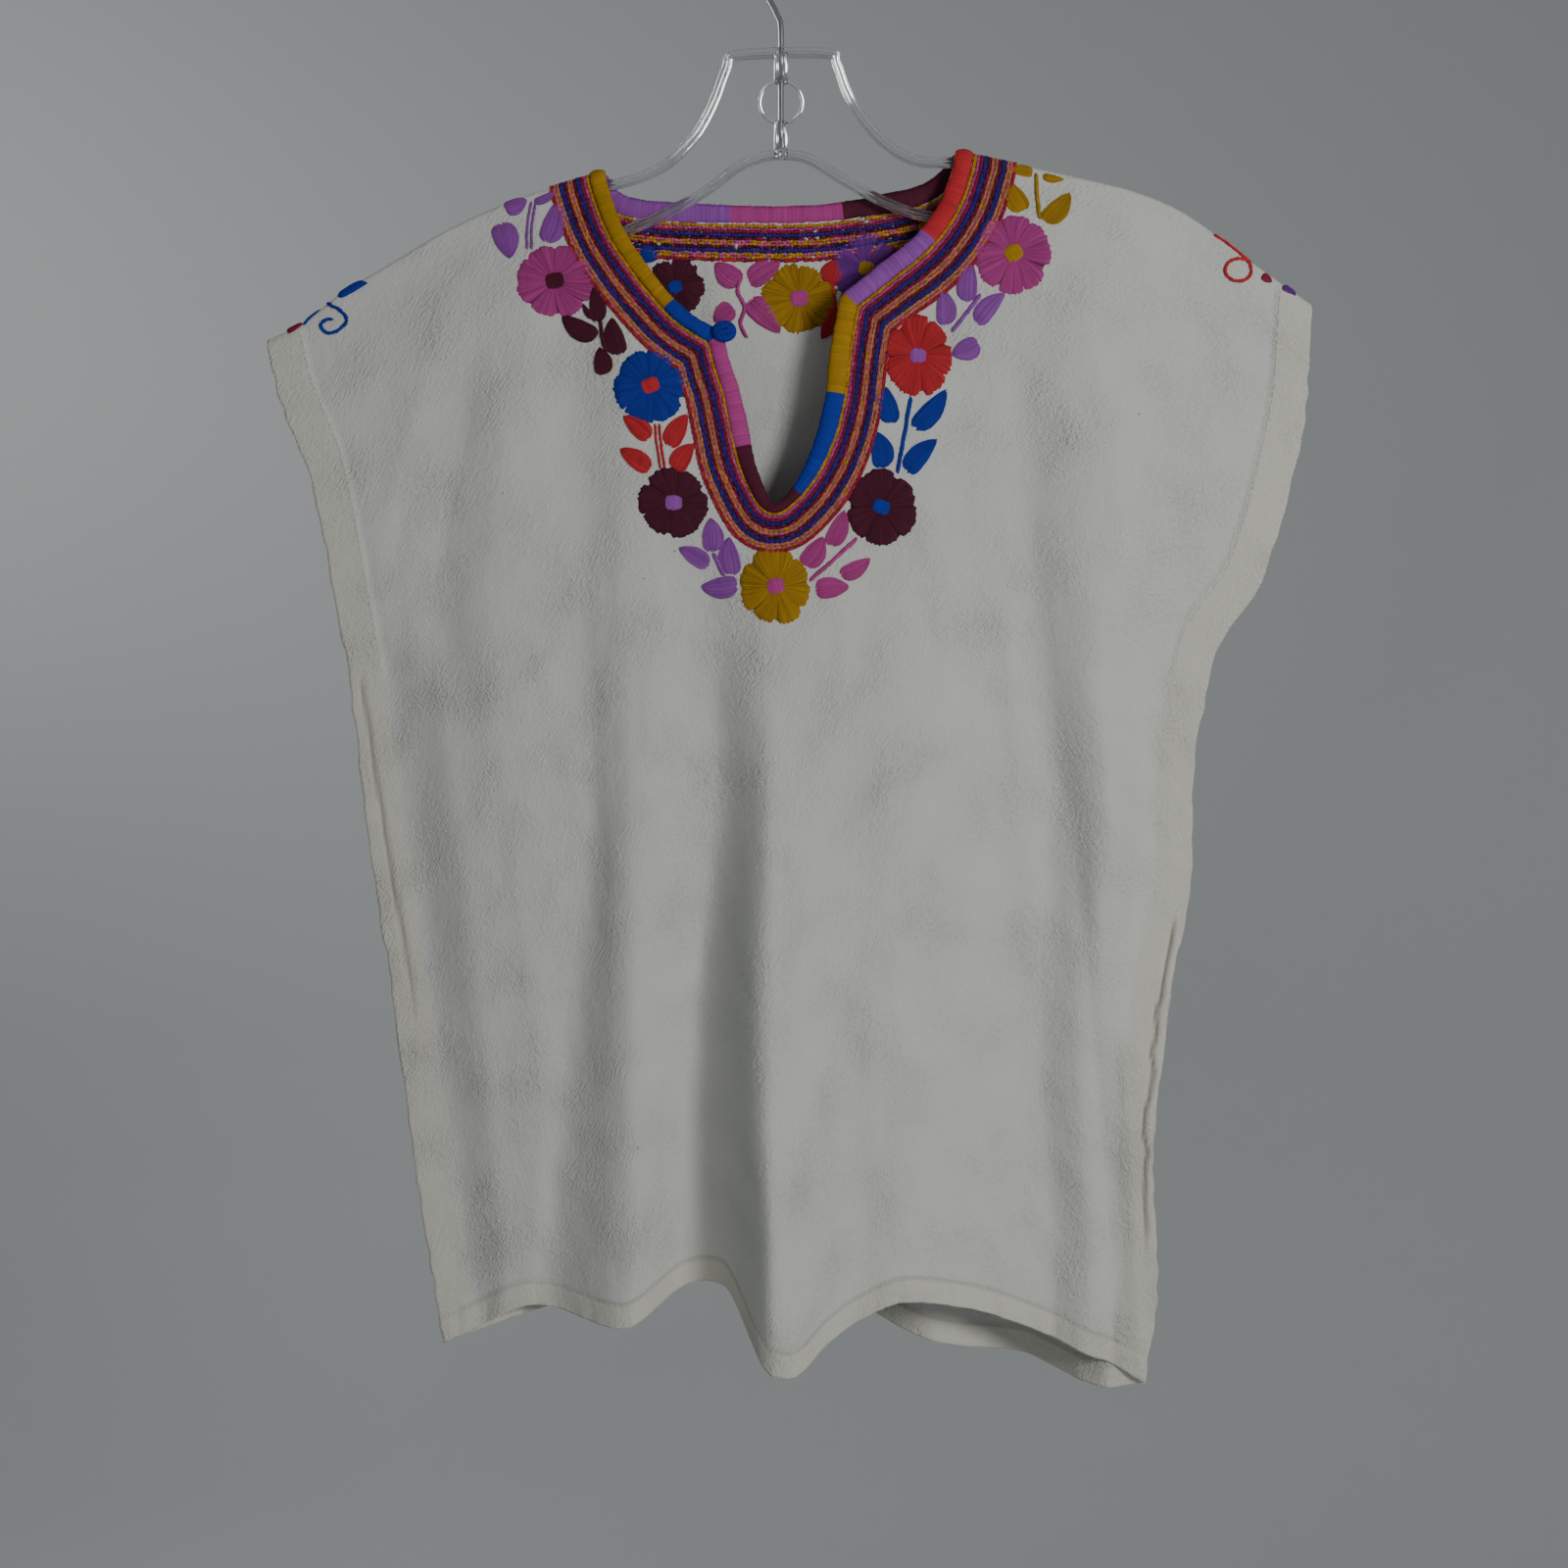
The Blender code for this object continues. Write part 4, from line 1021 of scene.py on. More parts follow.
class Nodes:
    """The node tree of one material."""

    def __init__(self, name: str) -> None:
        """Start a material with a plain shader."""
        self.material = bpy.data.materials.new(name)
        self.material.use_nodes = True
        self.tree = self.material.node_tree
        self.shader = self.tree.nodes["Principled BSDF"]

    def make(self, kind: str, settings: dict[str, Any] | None = None, values: dict[Any, Any] | None = None,
             output: Any = 0) -> Signal:
        """Add a node.

        Args:
            kind: the node's type.
            settings: its own properties, and "stops" for a ramp.
            values: numbers, colours or signals for its sockets, by name or number.
            output: the output that the signal carries.

        Returns:
            The chosen output.
        """
        node = self.tree.nodes.new(kind)
        for key, value in (settings or {}).items():
            if key == "stops":
                ramp = node.color_ramp
                while len(ramp.elements) < len(value):
                    ramp.elements.new(0.5)
                for element, (place, colour) in zip(ramp.elements, value):
                    element.position = place
                    element.color = (*colour, 1.0)
            else:
                setattr(node, key, value)
        for key, value in (values or {}).items():
            self.feed(node.inputs[key], value)
        return Signal(self, node.outputs[output])

    def feed(self, socket: bpy.types.NodeSocket, value: Any) -> None:
        """Give a socket a signal or a plain value."""
        if isinstance(value, Signal):
            self.tree.links.new(value.socket, socket)
        else:
            socket.default_value = value

    def mix(self, share: Any, first: Any, second: Any, blend: str = "MIX") -> Signal:
        """Mix two colours."""
        node = self.tree.nodes.new("ShaderNodeMix")
        node.data_type = "RGBA"
        node.blend_type = blend
        for socket, value in zip((node.inputs[0], node.inputs[6], node.inputs[7]), (share, first, second)):
            colour = isinstance(value, tuple) and len(value) == 3
            self.feed(socket, (*value, 1.0) if colour else value)
        return Signal(self, node.outputs[2])

    def attribute(self, name: str, output: str) -> Signal:
        """Read a stored attribute."""
        return self.make("ShaderNodeAttribute", {"attribute_name": name}, output=output)

    def bump(self, height: Signal, distance: float, strength: float = 1.0, normal: Signal | None = None) -> Signal:
        """Turn heights in metres times a distance into a normal."""
        values: dict[str, Any] = {"Height": height, "Distance": distance, "Strength": strength}
        if normal:
            values["Normal"] = normal
        return self.make("ShaderNodeBump", None, values)

    def set(self, **values: Any) -> None:
        """Set the shader's sockets; an underscore stands for a space."""
        for key, value in values.items():
            self.feed(self.shader.inputs[key.replace("_", " ")], value)


@dataclass(frozen=True)
class Cotton:
    """Undyed handwoven cotton with a crinkled face, a plain weave and a few dark flecks."""

    colour: tuple[float, float, float] = (0.70, 0.70, 0.635)
    warm: tuple[float, float, float] = (0.69, 0.655, 0.53)
    cool: tuple[float, float, float] = (0.63, 0.64, 0.61)
    yarns: float = 1150.0      # yarns per metre
    crinkle: float = 0.00042

    def make(self) -> bpy.types.Material:
        """Build the finish on the cloth's own cut, in metres."""
        n = Nodes("cotton")
        cut = n.make("ShaderNodeUVMap", {"uv_map": "cut"})
        split = n.make("ShaderNodeSeparateXYZ", None, {0: cut})
        across, down = split, Signal(n, split.socket.node.outputs[1])
        turned = n.make("ShaderNodeMapping", {"vector_type": "TEXTURE"},
                        {"Vector": cut, "Rotation": (0.0, 0.0, 0.8), "Scale": (0.0042, 0.0014, 1.0)})
        crepe = n.make("ShaderNodeTexNoise", None,
                       {"Vector": turned, "Scale": 1.0, "Detail": 2.5, "Roughness": 0.6}, "Fac")
        crossed = n.make("ShaderNodeMapping", {"vector_type": "TEXTURE"},
                         {"Vector": cut, "Rotation": (0.0, 0.0, -0.95), "Scale": (0.0032, 0.0013, 1.0)})
        across_crepe = n.make("ShaderNodeTexNoise", None, {"Vector": crossed, "Scale": 1.0, "Detail": 2.0}, "Fac")
        patch = n.make("ShaderNodeTexNoise", None, {"Vector": cut, "Scale": 24.0, "Detail": 1.0}, "Fac")
        crush = n.make("ShaderNodeTexNoise", None,
                       {"Vector": cut, "Scale": 130.0, "Detail": 2.0, "Distortion": 0.6}, "Fac")
        warp = n.make("ShaderNodeMath", {"operation": "SINE"}, {0: across * (self.yarns * 2 * math.pi)})
        weft = n.make("ShaderNodeMath", {"operation": "SINE"}, {0: down * (self.yarns * 0.9 * 2 * math.pi)})
        slub = n.make("ShaderNodeTexNoise", None, {"Vector": n.make(
            "ShaderNodeMapping", None, {"Vector": cut, "Scale": (500.0, 60.0, 1.0)}), "Scale": 1.0}, "Fac")
        weave = warp * weft
        soft = n.make("ShaderNodeTexNoise", None, {"Vector": cut, "Scale": 9.0, "Detail": 3.0}, "Fac")
        flecks = n.make("ShaderNodeTexVoronoi", {"feature": "F1"}, {"Vector": cut, "Scale": 46.0}, "Distance")
        chance = n.make("ShaderNodeTexVoronoi", {"feature": "F1"}, {"Vector": cut, "Scale": 46.0}, "Color")
        fleck = (1 - flecks.over(0.028)) * Signal(n, n.make(
            "ShaderNodeSeparateColor", None, {0: chance}).socket).over(0.84)
        hem = n.attribute("hem", "Fac")
        base = n.mix(soft, self.cool, self.colour)
        base = n.mix(hem * 0.45, base, self.warm)
        base = n.mix(slub * 0.12, base, (0.80, 0.80, 0.76))
        # Painted shade: the side seams' lines and the hem's stitch groove are darkened towards brown-black, as shade
        # in those grooves.
        base = n.mix(n.attribute("crack", "Fac") * 0.8, base, (0.17, 0.14, 0.10))
        base = n.mix(fleck * 0.8, base, (0.18, 0.14, 0.09))
        height = (crepe + across_crepe * 0.6) * (patch ** 2 * 3.2) + crush * 0.5 + weave * 0.05 + slub * 0.05
        n.set(Base_Color=base, Roughness=0.92, Normal=n.bump(height, self.crinkle * 3.0, 0.95))
        n.set(Sheen_Weight=0.08, Sheen_Roughness=0.5, Specular_IOR_Level=0.15)
        return n.material


@dataclass(frozen=True)
class Thread:
    """Embroidery thread in the colour stored on its points, with a fine twist."""

    name: str = "embroidery_thread"
    gloss: float = 0.62

    def make(self) -> bpy.types.Material:
        """Build the finish."""
        n = Nodes(self.name)
        colour = n.attribute("tint", "Color")
        where = n.make("ShaderNodeTexCoord", output="Object")
        fuzz = n.make("ShaderNodeTexNoise", None, {"Vector": where, "Scale": 1400.0, "Detail": 3.0}, "Fac")
        patch = n.make("ShaderNodeTexNoise", None, {"Vector": where, "Scale": 160.0, "Detail": 2.0}, "Fac")
        twist = n.make("ShaderNodeTexWave", {"wave_type": "BANDS", "bands_direction": "DIAGONAL"},
                       {"Vector": where, "Scale": 620.0, "Distortion": 2.0}, "Fac")
        shade = n.mix(patch * 0.5, colour, n.mix(0.5, colour, (0.0, 0.0, 0.0)))
        shade = n.mix(fuzz * 0.02, shade, (0.8, 0.8, 0.8))
        n.set(Base_Color=shade, Roughness=self.gloss, Normal=n.bump(fuzz + twist * 0.7, 0.00022, 0.8))
        n.set(Specular_IOR_Level=0.14)
        return n.material


@dataclass(frozen=True)
class ClearPlastic:
    """Moulded clear plastic."""

    def make(self) -> bpy.types.Material:
        """Build the finish."""
        n = Nodes("clear_plastic")
        where = n.make("ShaderNodeTexCoord", output="Object")
        haze = n.make("ShaderNodeTexNoise", None, {"Vector": where, "Scale": 60.0, "Detail": 2.0}, "Fac")
        n.set(Base_Color=(0.93, 0.95, 0.96, 1.0), Roughness=haze * 0.1 + 0.02,
              Normal=n.bump(haze, 0.0004, 0.4))
        n.set(Transmission_Weight=0.96, IOR=1.49)
        return n.material


@dataclass(frozen=True)
class SteelWire:
    """Drawn steel wire, a little dull."""

    def make(self) -> bpy.types.Material:
        """Build the finish."""
        n = Nodes("steel_wire")
        where = n.make("ShaderNodeTexCoord", output="Object")
        drawn = n.make("ShaderNodeTexNoise", None, {"Vector": n.make(
            "ShaderNodeMapping", None, {"Vector": where, "Scale": (900.0, 900.0, 60.0)}), "Scale": 1.0}, "Fac")
        n.set(Base_Color=n.mix(drawn, (0.42, 0.43, 0.44), (0.62, 0.63, 0.64)),
              Roughness=drawn * 0.25 + 0.18, Metallic=1.0, Normal=n.bump(drawn, 0.00006, 0.5))
        return n.material


@dataclass(frozen=True)
class Backdrop:
    """Pale matt card."""

    def make(self) -> bpy.types.Material:
        """Build the finish."""
        n = Nodes("backdrop")
        n.set(Base_Color=(0.56, 0.575, 0.58, 1.0), Roughness=0.95)
        return n.material


@dataclass
class ClothHalf:
    """One half of the cloth: a fine grid hung by the drape, its neck cut out and its wall given."""

    face: Face
    finish: bpy.types.Material
    middle_columns: int = 138
    body_rows: int = 174
    edge_steps: tuple[float, ...] = (0, 1.4, 3, 4.6, 6.2, 7.8, 9.4, 11, 12.8, 15, 17.4, 18.6, 19.8, 21.4, 24)
    hem_steps: tuple[float, ...] = (26, 22, 18.5, 15.8, 14, 12.8, 11.4, 9.4, 7.2, 5, 2.8, 1.2, 0)
    crown_rows: int = 7

    @property
    def name(self) -> str:
        """The piece's name."""
        return "front_cloth" if self.face is Face.FRONT else "back_cloth"

    def lines(self) -> tuple[Array, Array, Array]:
        """Fractions that do not hang on the width: the middle columns, and each row's run and clear height."""
        middle = np.linspace(0, 1, self.middle_columns + 1)
        crown = -np.linspace(1, 0, self.crown_rows, endpoint=False)
        body = np.linspace(0, 1, self.body_rows + 1)
        return middle, crown, body

    def build(self) -> bpy.types.Object:
        """Make the piece."""
        middle, crown, body = self.lines()
        edge = np.array(self.edge_steps, float)
        columns = len(middle) - 1 + 2 * len(edge) - 2
        hem = np.array(self.hem_steps, float)
        rows = len(crown) + len(body) - 1 + len(hem) - 1
        mesh, i, j = flat_grid(self.name, columns, rows)
        last_edge = len(edge) - 1
        run = np.where(j < len(crown), crown[np.clip(j, 0, len(crown) - 1)], 0.0)
        on_body = (j >= len(crown)) & (j < len(crown) + len(body) - 1)
        drop = 655.0
        hem_start = 1 - hem[0] / drop
        run = np.where(on_body, body[np.clip(j - len(crown), 0, len(body) - 1)] * hem_start, run)
        in_hem = j >= len(crown) + len(body) - 1
        run = np.where(in_hem, 1 - hem[np.clip(j - len(crown) - len(body) + 1, 0, len(hem) - 1)] / drop, run)
        down = np.clip(run, 0, 1)
        width = DRAPE.right_edge.at(down) - DRAPE.left_edge.at(down)
        inner = edge[-1] / width
        left = edge[np.clip(i, 0, last_edge)] / width
        right = 1 - edge[np.clip(columns - i, 0, last_edge)] / width
        centre = inner + (1 - 2 * inner) * (i - last_edge) / (columns - 2 * last_edge)
        across = np.where(i <= last_edge, left, np.where(i >= columns - last_edge, right, centre))
        points = DRAPE.place(self.face, across, run)
        move_to(mesh, points)
        self.mark(mesh, across, run, points)
        self.cut_neck(mesh, points)
        if self.face is Face.BACK:
            mesh.flip_normals()
        made = add(self.name, mesh, self.finish)
        self.thicken(made)
        return made

    def mark(self, mesh: bpy.types.Mesh, across: Array, run: Array, points: Array) -> None:
        """Store the cut as a map, where the cloth is doubled, and the painted shade of the seam and hem grooves."""
        flat_x = (across - 0.5) * 0.56
        flat_z = -np.where(run < 0, run * CROWN_LENGTH * MM, run * 0.655)
        loops = np.empty(len(mesh.loops), np.int32)
        mesh.loops.foreach_get("vertex_index", loops)
        layer = mesh.uv_layers.new(name="cut")
        layer.data.foreach_set("uv", np.stack([flat_x, flat_z], axis=-1)[loops].astype(np.float32).ravel())
        down = np.clip(run, 0, 1)
        width = DRAPE.right_edge.at(down) - DRAPE.left_edge.at(down)
        from_side = np.minimum(across, 1 - across) * width
        above_hem = points[:, 2] - DRAPE.hems[self.face].at(across)
        doubled = np.maximum(ease((SEAM_WIDTH - from_side) / 2.0 + 0.5), ease((HEM_WIDTH - above_hem) / 2.0 + 0.5))
        measure(mesh, "hem", doubled)
        z = points[:, 2]
        left, right = DRAPE.cracks(across * width, (1 - across) * width, z)
        below_sleeve = ease((ARMHOLE_FOOT - z) / 8.0)
        # Painted shade: the side seams' lines and the hem's stitch groove, darkened in the cotton finish.
        hem_groove_shade = 0.35 * hill(above_hem - HEM_WIDTH, 1.8) * ease(from_side / 20.0)
        measure(mesh, "crack", np.maximum(below_sleeve * np.maximum(0.75 * left, right), hem_groove_shade))

    def cut_neck(self, mesh: bpy.types.Mesh, points: Array) -> None:
        """Take out the faces inside the opening; the rough edge lies within the binding."""
        outline = Neck(self.face).path(0.45 * BINDING_WIDTH).points
        start, end = outline[0], outline[-1]
        ring = np.vstack([start + (0, 40.0), outline, end + (0, 40.0)])
        crown = np.where(points[:, 2] > DRAPE.shoulder.at(points[:, 0]) - CROWN_RADIUS, 1.0, 0.0)
        flat = points[:, [0, 2]] + np.stack([0 * crown, 3.0 * crown], axis=-1)
        shape = bmesh.new()
        shape.from_mesh(mesh)
        shape.verts.ensure_lookup_table()
        corners = np.array([[corner.index for corner in face.verts] for face in shape.faces])
        centres = flat[corners].mean(axis=1)
        inside = np.zeros(len(centres), bool)
        for a, b in zip(ring, np.roll(ring, -1, axis=0)):
            spans = (a[1] > centres[:, 1]) != (b[1] > centres[:, 1])
            rise = b[1] - a[1] if b[1] != a[1] else 1e-9
            crossing = a[0] + (centres[:, 1] - a[1]) * (b[0] - a[0]) / rise
            inside ^= spans & (centres[:, 0] < crossing)
        faces = list(shape.faces)
        bmesh.ops.delete(shape, geom=[faces[k] for k in np.flatnonzero(inside)], context="FACES")
        shape.to_mesh(mesh)
        shape.free()

    def thicken(self, made: bpy.types.Object) -> None:
        """Give the cloth its wall, double at the hems."""
        group = made.vertex_groups.new(name="hems")
        layer = made.data.attributes["hem"]
        weights = np.empty(len(made.data.vertices), np.float32)
        layer.data.foreach_get("value", weights)
        for weight in np.unique(np.round(weights, 1)):
            chosen = np.flatnonzero(np.round(weights, 1) == weight)
            group.add(chosen.tolist(), float(weight), "REPLACE")
        wall = made.modifiers.new("wall", "SOLIDIFY")
        wall.thickness = CLOTH_DOUBLE * MM
        wall.offset = -1.0
        wall.vertex_group = group.name
        wall.thickness_vertex_group = CLOTH_THIN / CLOTH_DOUBLE


@dataclass
class BraidBand:
    """The band of chain-stitch rows round the neck, over a ground of packed thread."""

    face: Face
    finish: bpy.types.Material
    stitch: float = 2.9

    @property
    def name(self) -> str:
        """The start of the pieces' names."""
        return "front_braid" if self.face is Face.FRONT else "back_braid"

    def ground(self) -> bpy.types.Object:
        """A thin ribbed ground in the rows' colours, darkened as painted shade, which fills what shows between the
        stitches.
        """
        neck = Neck(self.face)
        colours = [0.5 * (row.near.colour + row.far.colour) for row in BRAID_ROWS]
        distances = np.array([BRAID_NEAR, *np.linspace(BRAID_NEAR + 0.4, BRAID_FAR - 0.4, 26), BRAID_FAR])
        stations = 340 if self.face is Face.FRONT else 190
        mesh, i, j = flat_grid(self.name + "_ground", stations, len(distances) - 1)
        flat = np.empty((len(i), 2))
        for k, distance in enumerate(distances):
            path = neck.path(float(distance))
            chosen = j == k
            flat[chosen] = path.at(i[chosen] / stations * path.length)
        rims = np.isin(j, (0, len(distances) - 1))
        points, out = DRAPE.lay(self.face, flat, np.where(rims, -0.2, 0.42))
        move_to(mesh, points)
        face_out(mesh, out)
        nearest = np.argmin(np.abs(distances[j][:, None] - np.array([row.distance for row in BRAID_ROWS])), axis=1)
        # Painted shade: the rows' colours at 0.45 stand for the shade between the raised stitches.
        tint(mesh, np.array(colours)[nearest] * 0.45)
        return add(self.name + "_ground", mesh, self.finish)

    def row(self, row: Row, number: int) -> bpy.types.Object:
        """One row: pairs of bowed legs, each pair tucked under the next."""
        path = Neck(self.face).path(row.distance)
        links = round(path.length / self.stitch)
        pitch = path.length / links
        rng = np.random.default_rng(100 + number)
        jitter = rng.uniform(-0.12, 0.12, (2 * links, 3))

        def curve(which: Array, along: Array) -> tuple[Array, Array]:
            """The leg's line on the cloth."""
            link, leg = which // 2, np.where(which % 2 == 0, -1.0, 1.0)
            bow = np.sin(np.pi * np.clip(along, 0, 1)) ** 0.8
            start = (link + 0.5 + jitter[which, 0]) * pitch
            position = start + (along * 1.3 - 0.65) * pitch * (1 + jitter[which, 1])
            spread = leg * 0.25 * row.width * bow
            flat = path.beside(np.clip(position, 0, path.length), spread + jitter[which, 2])
            return DRAPE.lay(self.face, flat, 0.35 + 0.55 * bow)

        def radius(which: Array, along: Array) -> Array:
            """The leg's thickness."""
            return 0.275 * row.width * (0.45 + 0.55 * np.sin(np.pi * np.clip(along, 0.02, 0.98)) ** 0.6)

        light = shades(2 * links, 200 + number, 0.3)

        def colour(which: Array) -> Array:
            """The two colours, which swap from link to link."""
            near = ((which + which // 2 + which // 19) % 2 == 0)[:, None]
            return np.where(near, row.near.colour, row.far.colour) * light[which]

        threads = Strands(f"{self.name}_{row.name}", 2 * links)
        return add(threads.name, threads.bend(curve, radius, 0.8, colour), self.finish)

    def reverse(self) -> bpy.types.Object:
        """The rows' reverse on the inside: short broken stitches, with tufts of cotton between."""
        neck = Neck(self.face)
        paths = [neck.path(row.distance) for row in BRAID_ROWS]
        counts = [round(path.length / 2.1) for path in paths]
        starts = np.concatenate([[0], np.cumsum(counts)])
        owner = np.repeat(np.arange(len(paths)), counts)
        rng = np.random.default_rng(7)
        jitter = rng.uniform(-1, 1, (len(owner), 4))

        def curve(which: Array, along: Array) -> tuple[Array, Array]:
            """A stitch's line on the inner face."""
            flat = np.empty((len(which), 2))
            for k, path in enumerate(paths):
                chosen = owner[which] == k
                number = which[chosen] - starts[k]
                pitch = path.length / counts[k]
                place = (number + 0.5 + 0.18 * jitter[which[chosen], 0] + (along[chosen] - 0.5) * 1.35) * pitch
                lean = 0.32 * jitter[which[chosen], 1] + 0.75 * (along[chosen] - 0.5) * np.sign(jitter[which[chosen], 3])
                flat[chosen] = path.beside(np.clip(place, 0, path.length), lean)
            bow = np.sin(np.pi * np.clip(along, 0, 1))
            return DRAPE.lay(self.face, flat, 0.1 + 0.6 * bow, inside=True)

        widths = np.array([row.width for row in BRAID_ROWS])

        def radius(which: Array, along: Array) -> Array:
            """The stitch's thickness."""
            return widths[owner[which]] * (0.52 + 0.1 * jitter[which, 2] - 0.16 * np.abs(2 * along - 1) ** 3)

        light = shades(len(owner), 8, 0.3)
        near = np.array([row.near.colour for row in BRAID_ROWS])
        far = np.array([row.far.colour for row in BRAID_ROWS])

        def colour(which: Array) -> Array:
            """The row's colours mixed, and cotton where the ground shows through."""
            pick = (jitter[which, 3] > 0.1)[:, None]
            made = np.where(pick, near[owner[which]], far[owner[which]]) * light[which]
            return np.where((jitter[which, 0] > 0.97)[:, None], Yarn.COTTON.colour, made)

        threads = Strands(self.name + "_reverse", len(owner), steps=3 if self.face is Face.BACK else 2)
        return add(threads.name, threads.bend(curve, radius, 0.6, colour), self.finish)

    def build(self) -> list[bpy.types.Object]:
        """Make the ground, the rows and their reverse."""
        made = [self.ground()] + [self.row(row, k) for k, row in enumerate(BRAID_ROWS)]
        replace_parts(made[0], "neck_braid_front" if self.face is Face.FRONT else "neck_braid_back")
        made.append(self.reverse())
        return made


@dataclass
class Binding:
    """The buttonhole-stitched edge: a flat oval roll ridged by its wraps of thread."""

    face: Face
    finish: bpy.types.Material
    wrap: float = 0.95
    wrap_steps: int = 3
    sides: int = 12

    def build(self) -> bpy.types.Object:
        """Make the piece."""
        name = "front_binding" if self.face is Face.FRONT else "back_binding"
        neck = Neck(self.face)
        path = neck.path(0.5 * BINDING_WIDTH)
        stations = int(path.length / self.wrap * self.wrap_steps)
        mesh, i, j = flat_grid(name, stations, self.sides)
        along = np.linspace(0, path.length, stations + 1)
        flat = path.at(along)
        middle, out = DRAPE.lay(self.face, flat, BINDING_PROUD)
        reach = 1.6
        ahead = DRAPE.lay(self.face, path.at(along + reach), BINDING_PROUD)[0]
        behind = DRAPE.lay(self.face, path.at(along - reach), BINDING_PROUD)[0]
        ring = frames(middle, ahead, behind, out)
        angle = 2 * np.pi * (j % self.sides) / self.sides
        number = along / self.wrap + 0.35 * Ripple(31).at(along / 5.0, 0 * along)
        ridge = np.abs(np.sin(np.pi * (number[i] + 0.3 * np.sin(angle))))
        lump = Ripple(32).at(number[i] * 0.8, 2 * np.cos(angle)) + Ripple(33).at(along[i] / 9.0, np.sin(angle))
        size = (0.93 + 0.09 * ridge**0.6) * (1 + 0.05 * lump)
        deep = 1.0
        if self.face is Face.BACK:
            deep = np.where((np.sin(angle) < 0) & (np.cos(angle) > 0), 1.35, 1.0)
        near, far = neck.path(0.01), neck.path(BINDING_WIDTH)
        width = np.linalg.norm(near.at(along / path.length * near.length)
                               - far.at(along / path.length * far.length), axis=1)
        width = np.clip(width, 4.0, 11.0)
        width = np.convolve(np.pad(width, 40, mode="edge"), np.full(81, 1 / 81), mode="valid")
        half_width, half_bulk = 0.5 * width[i], 0.5 * BINDING_BULK
        sideways = (half_width * np.cos(angle) * size * deep)[:, None] * ring.side[i]
        outwards = (half_bulk * np.sin(angle) * size)[:, None] * ring.out[i]
        move_to(mesh, ring.middle[i] + sideways + outwards)
        tint(mesh, self.colours(path, np.floor(number)[i] * self.wrap))
        weld(mesh, caps=True)
        made = add(name, mesh, self.finish)
        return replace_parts(made, "neck_binding_front" if self.face is Face.FRONT else "neck_binding_back")

    def colours(self, path: Path, along: Array) -> Array:
        """The colour of the length that each wrap belongs to."""
        lengths = FRONT_LENGTHS if self.face is Face.FRONT else BACK_LENGTHS
        ends = np.array([path.nearest(length.end) for length in lengths[:-1]])
        table = np.array([length.yarn.colour for length in lengths])
        which = np.searchsorted(ends, along)
        return table[which] * (1 + 0.16 * Ripple(34).at(along * 1.7, 0 * along))[:, None]


@dataclass
class Button:
    """The thread-wound button at the slit's corner: a core under crossing turns of thread."""

    finish: bpy.types.Material
    radius: float = 6.3
    half_bulk: float = 2.7
    turns: int = 46

    def build(self) -> bpy.types.Object:
        """Make the piece."""
        rng = np.random.default_rng(21)
        lean = rng.uniform(-1.5, 1.5, self.turns)
        spin = rng.uniform(0, 2 * np.pi, self.turns)
        swell = rng.uniform(0.88, 1.06, self.turns)
        flat = seen(Face.FRONT, [BUTTON_PLACE])
        base, out = DRAPE.lay(Face.FRONT, flat, BINDING_PROUD + 0.5 * BINDING_BULK + 0.4 * self.half_bulk)

        def curve(which: Array, along: Array) -> tuple[Array, Array]:
            """A turn of thread round the core."""
            t = 2 * np.pi * along
            ball = np.stack([np.cos(t), np.sin(t) * np.sin(lean[which]), np.sin(t) * np.cos(lean[which])], axis=-1)
            c, s = np.cos(spin[which]), np.sin(spin[which])
            turned = np.stack([c * ball[:, 0] - s * ball[:, 2], ball[:, 1], s * ball[:, 0] + c * ball[:, 2]], axis=-1)
            size = np.array([self.radius - 0.1, self.half_bulk, self.radius - 0.9])
            offset = turned * size * swell[which][:, None]
            return base + offset, unit(turned / size)

        light = shades(self.turns, 22, 0.25)
        threads = Strands("button_thread", self.turns, sides=6, steps=28)
        mesh = threads.bend(curve, lambda which, along: 0.5 + 0 * along, 0.8,
                            lambda which: Yarn.BLUE.colour * light[which])
        made = add(threads.name, mesh, self.finish)
        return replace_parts(made, "neck_button")

    def core(self) -> bpy.types.Object:
        """The pad that the turns cover, in blue at half brightness as painted shade under the turns."""
        dome = bmesh.new()
        bmesh.ops.create_uvsphere(dome, u_segments=24, v_segments=12, radius=1.0)
        flat = seen(Face.FRONT, [BUTTON_PLACE])
        base, _ = DRAPE.lay(Face.FRONT, flat, BINDING_PROUD + 0.5 * BINDING_BULK + 0.4 * self.half_bulk)
        bmesh.ops.scale(dome, verts=dome.verts,
                        vec=Vector((self.radius - 0.7, self.half_bulk - 0.2, self.radius - 0.7)) * MM)
        bmesh.ops.translate(dome, verts=dome.verts, vec=Vector(base[0]) * MM)
        mesh = bpy.data.meshes.new("button_core")
        dome.to_mesh(mesh)
        dome.free()
        # Painted shade: the blue at half brightness stands for shade in the gaps under the turns.
        tint(mesh, np.tile(Yarn.BLUE.colour * 0.5, (len(mesh.vertices), 1)))
        return add("button_core", mesh, self.finish)


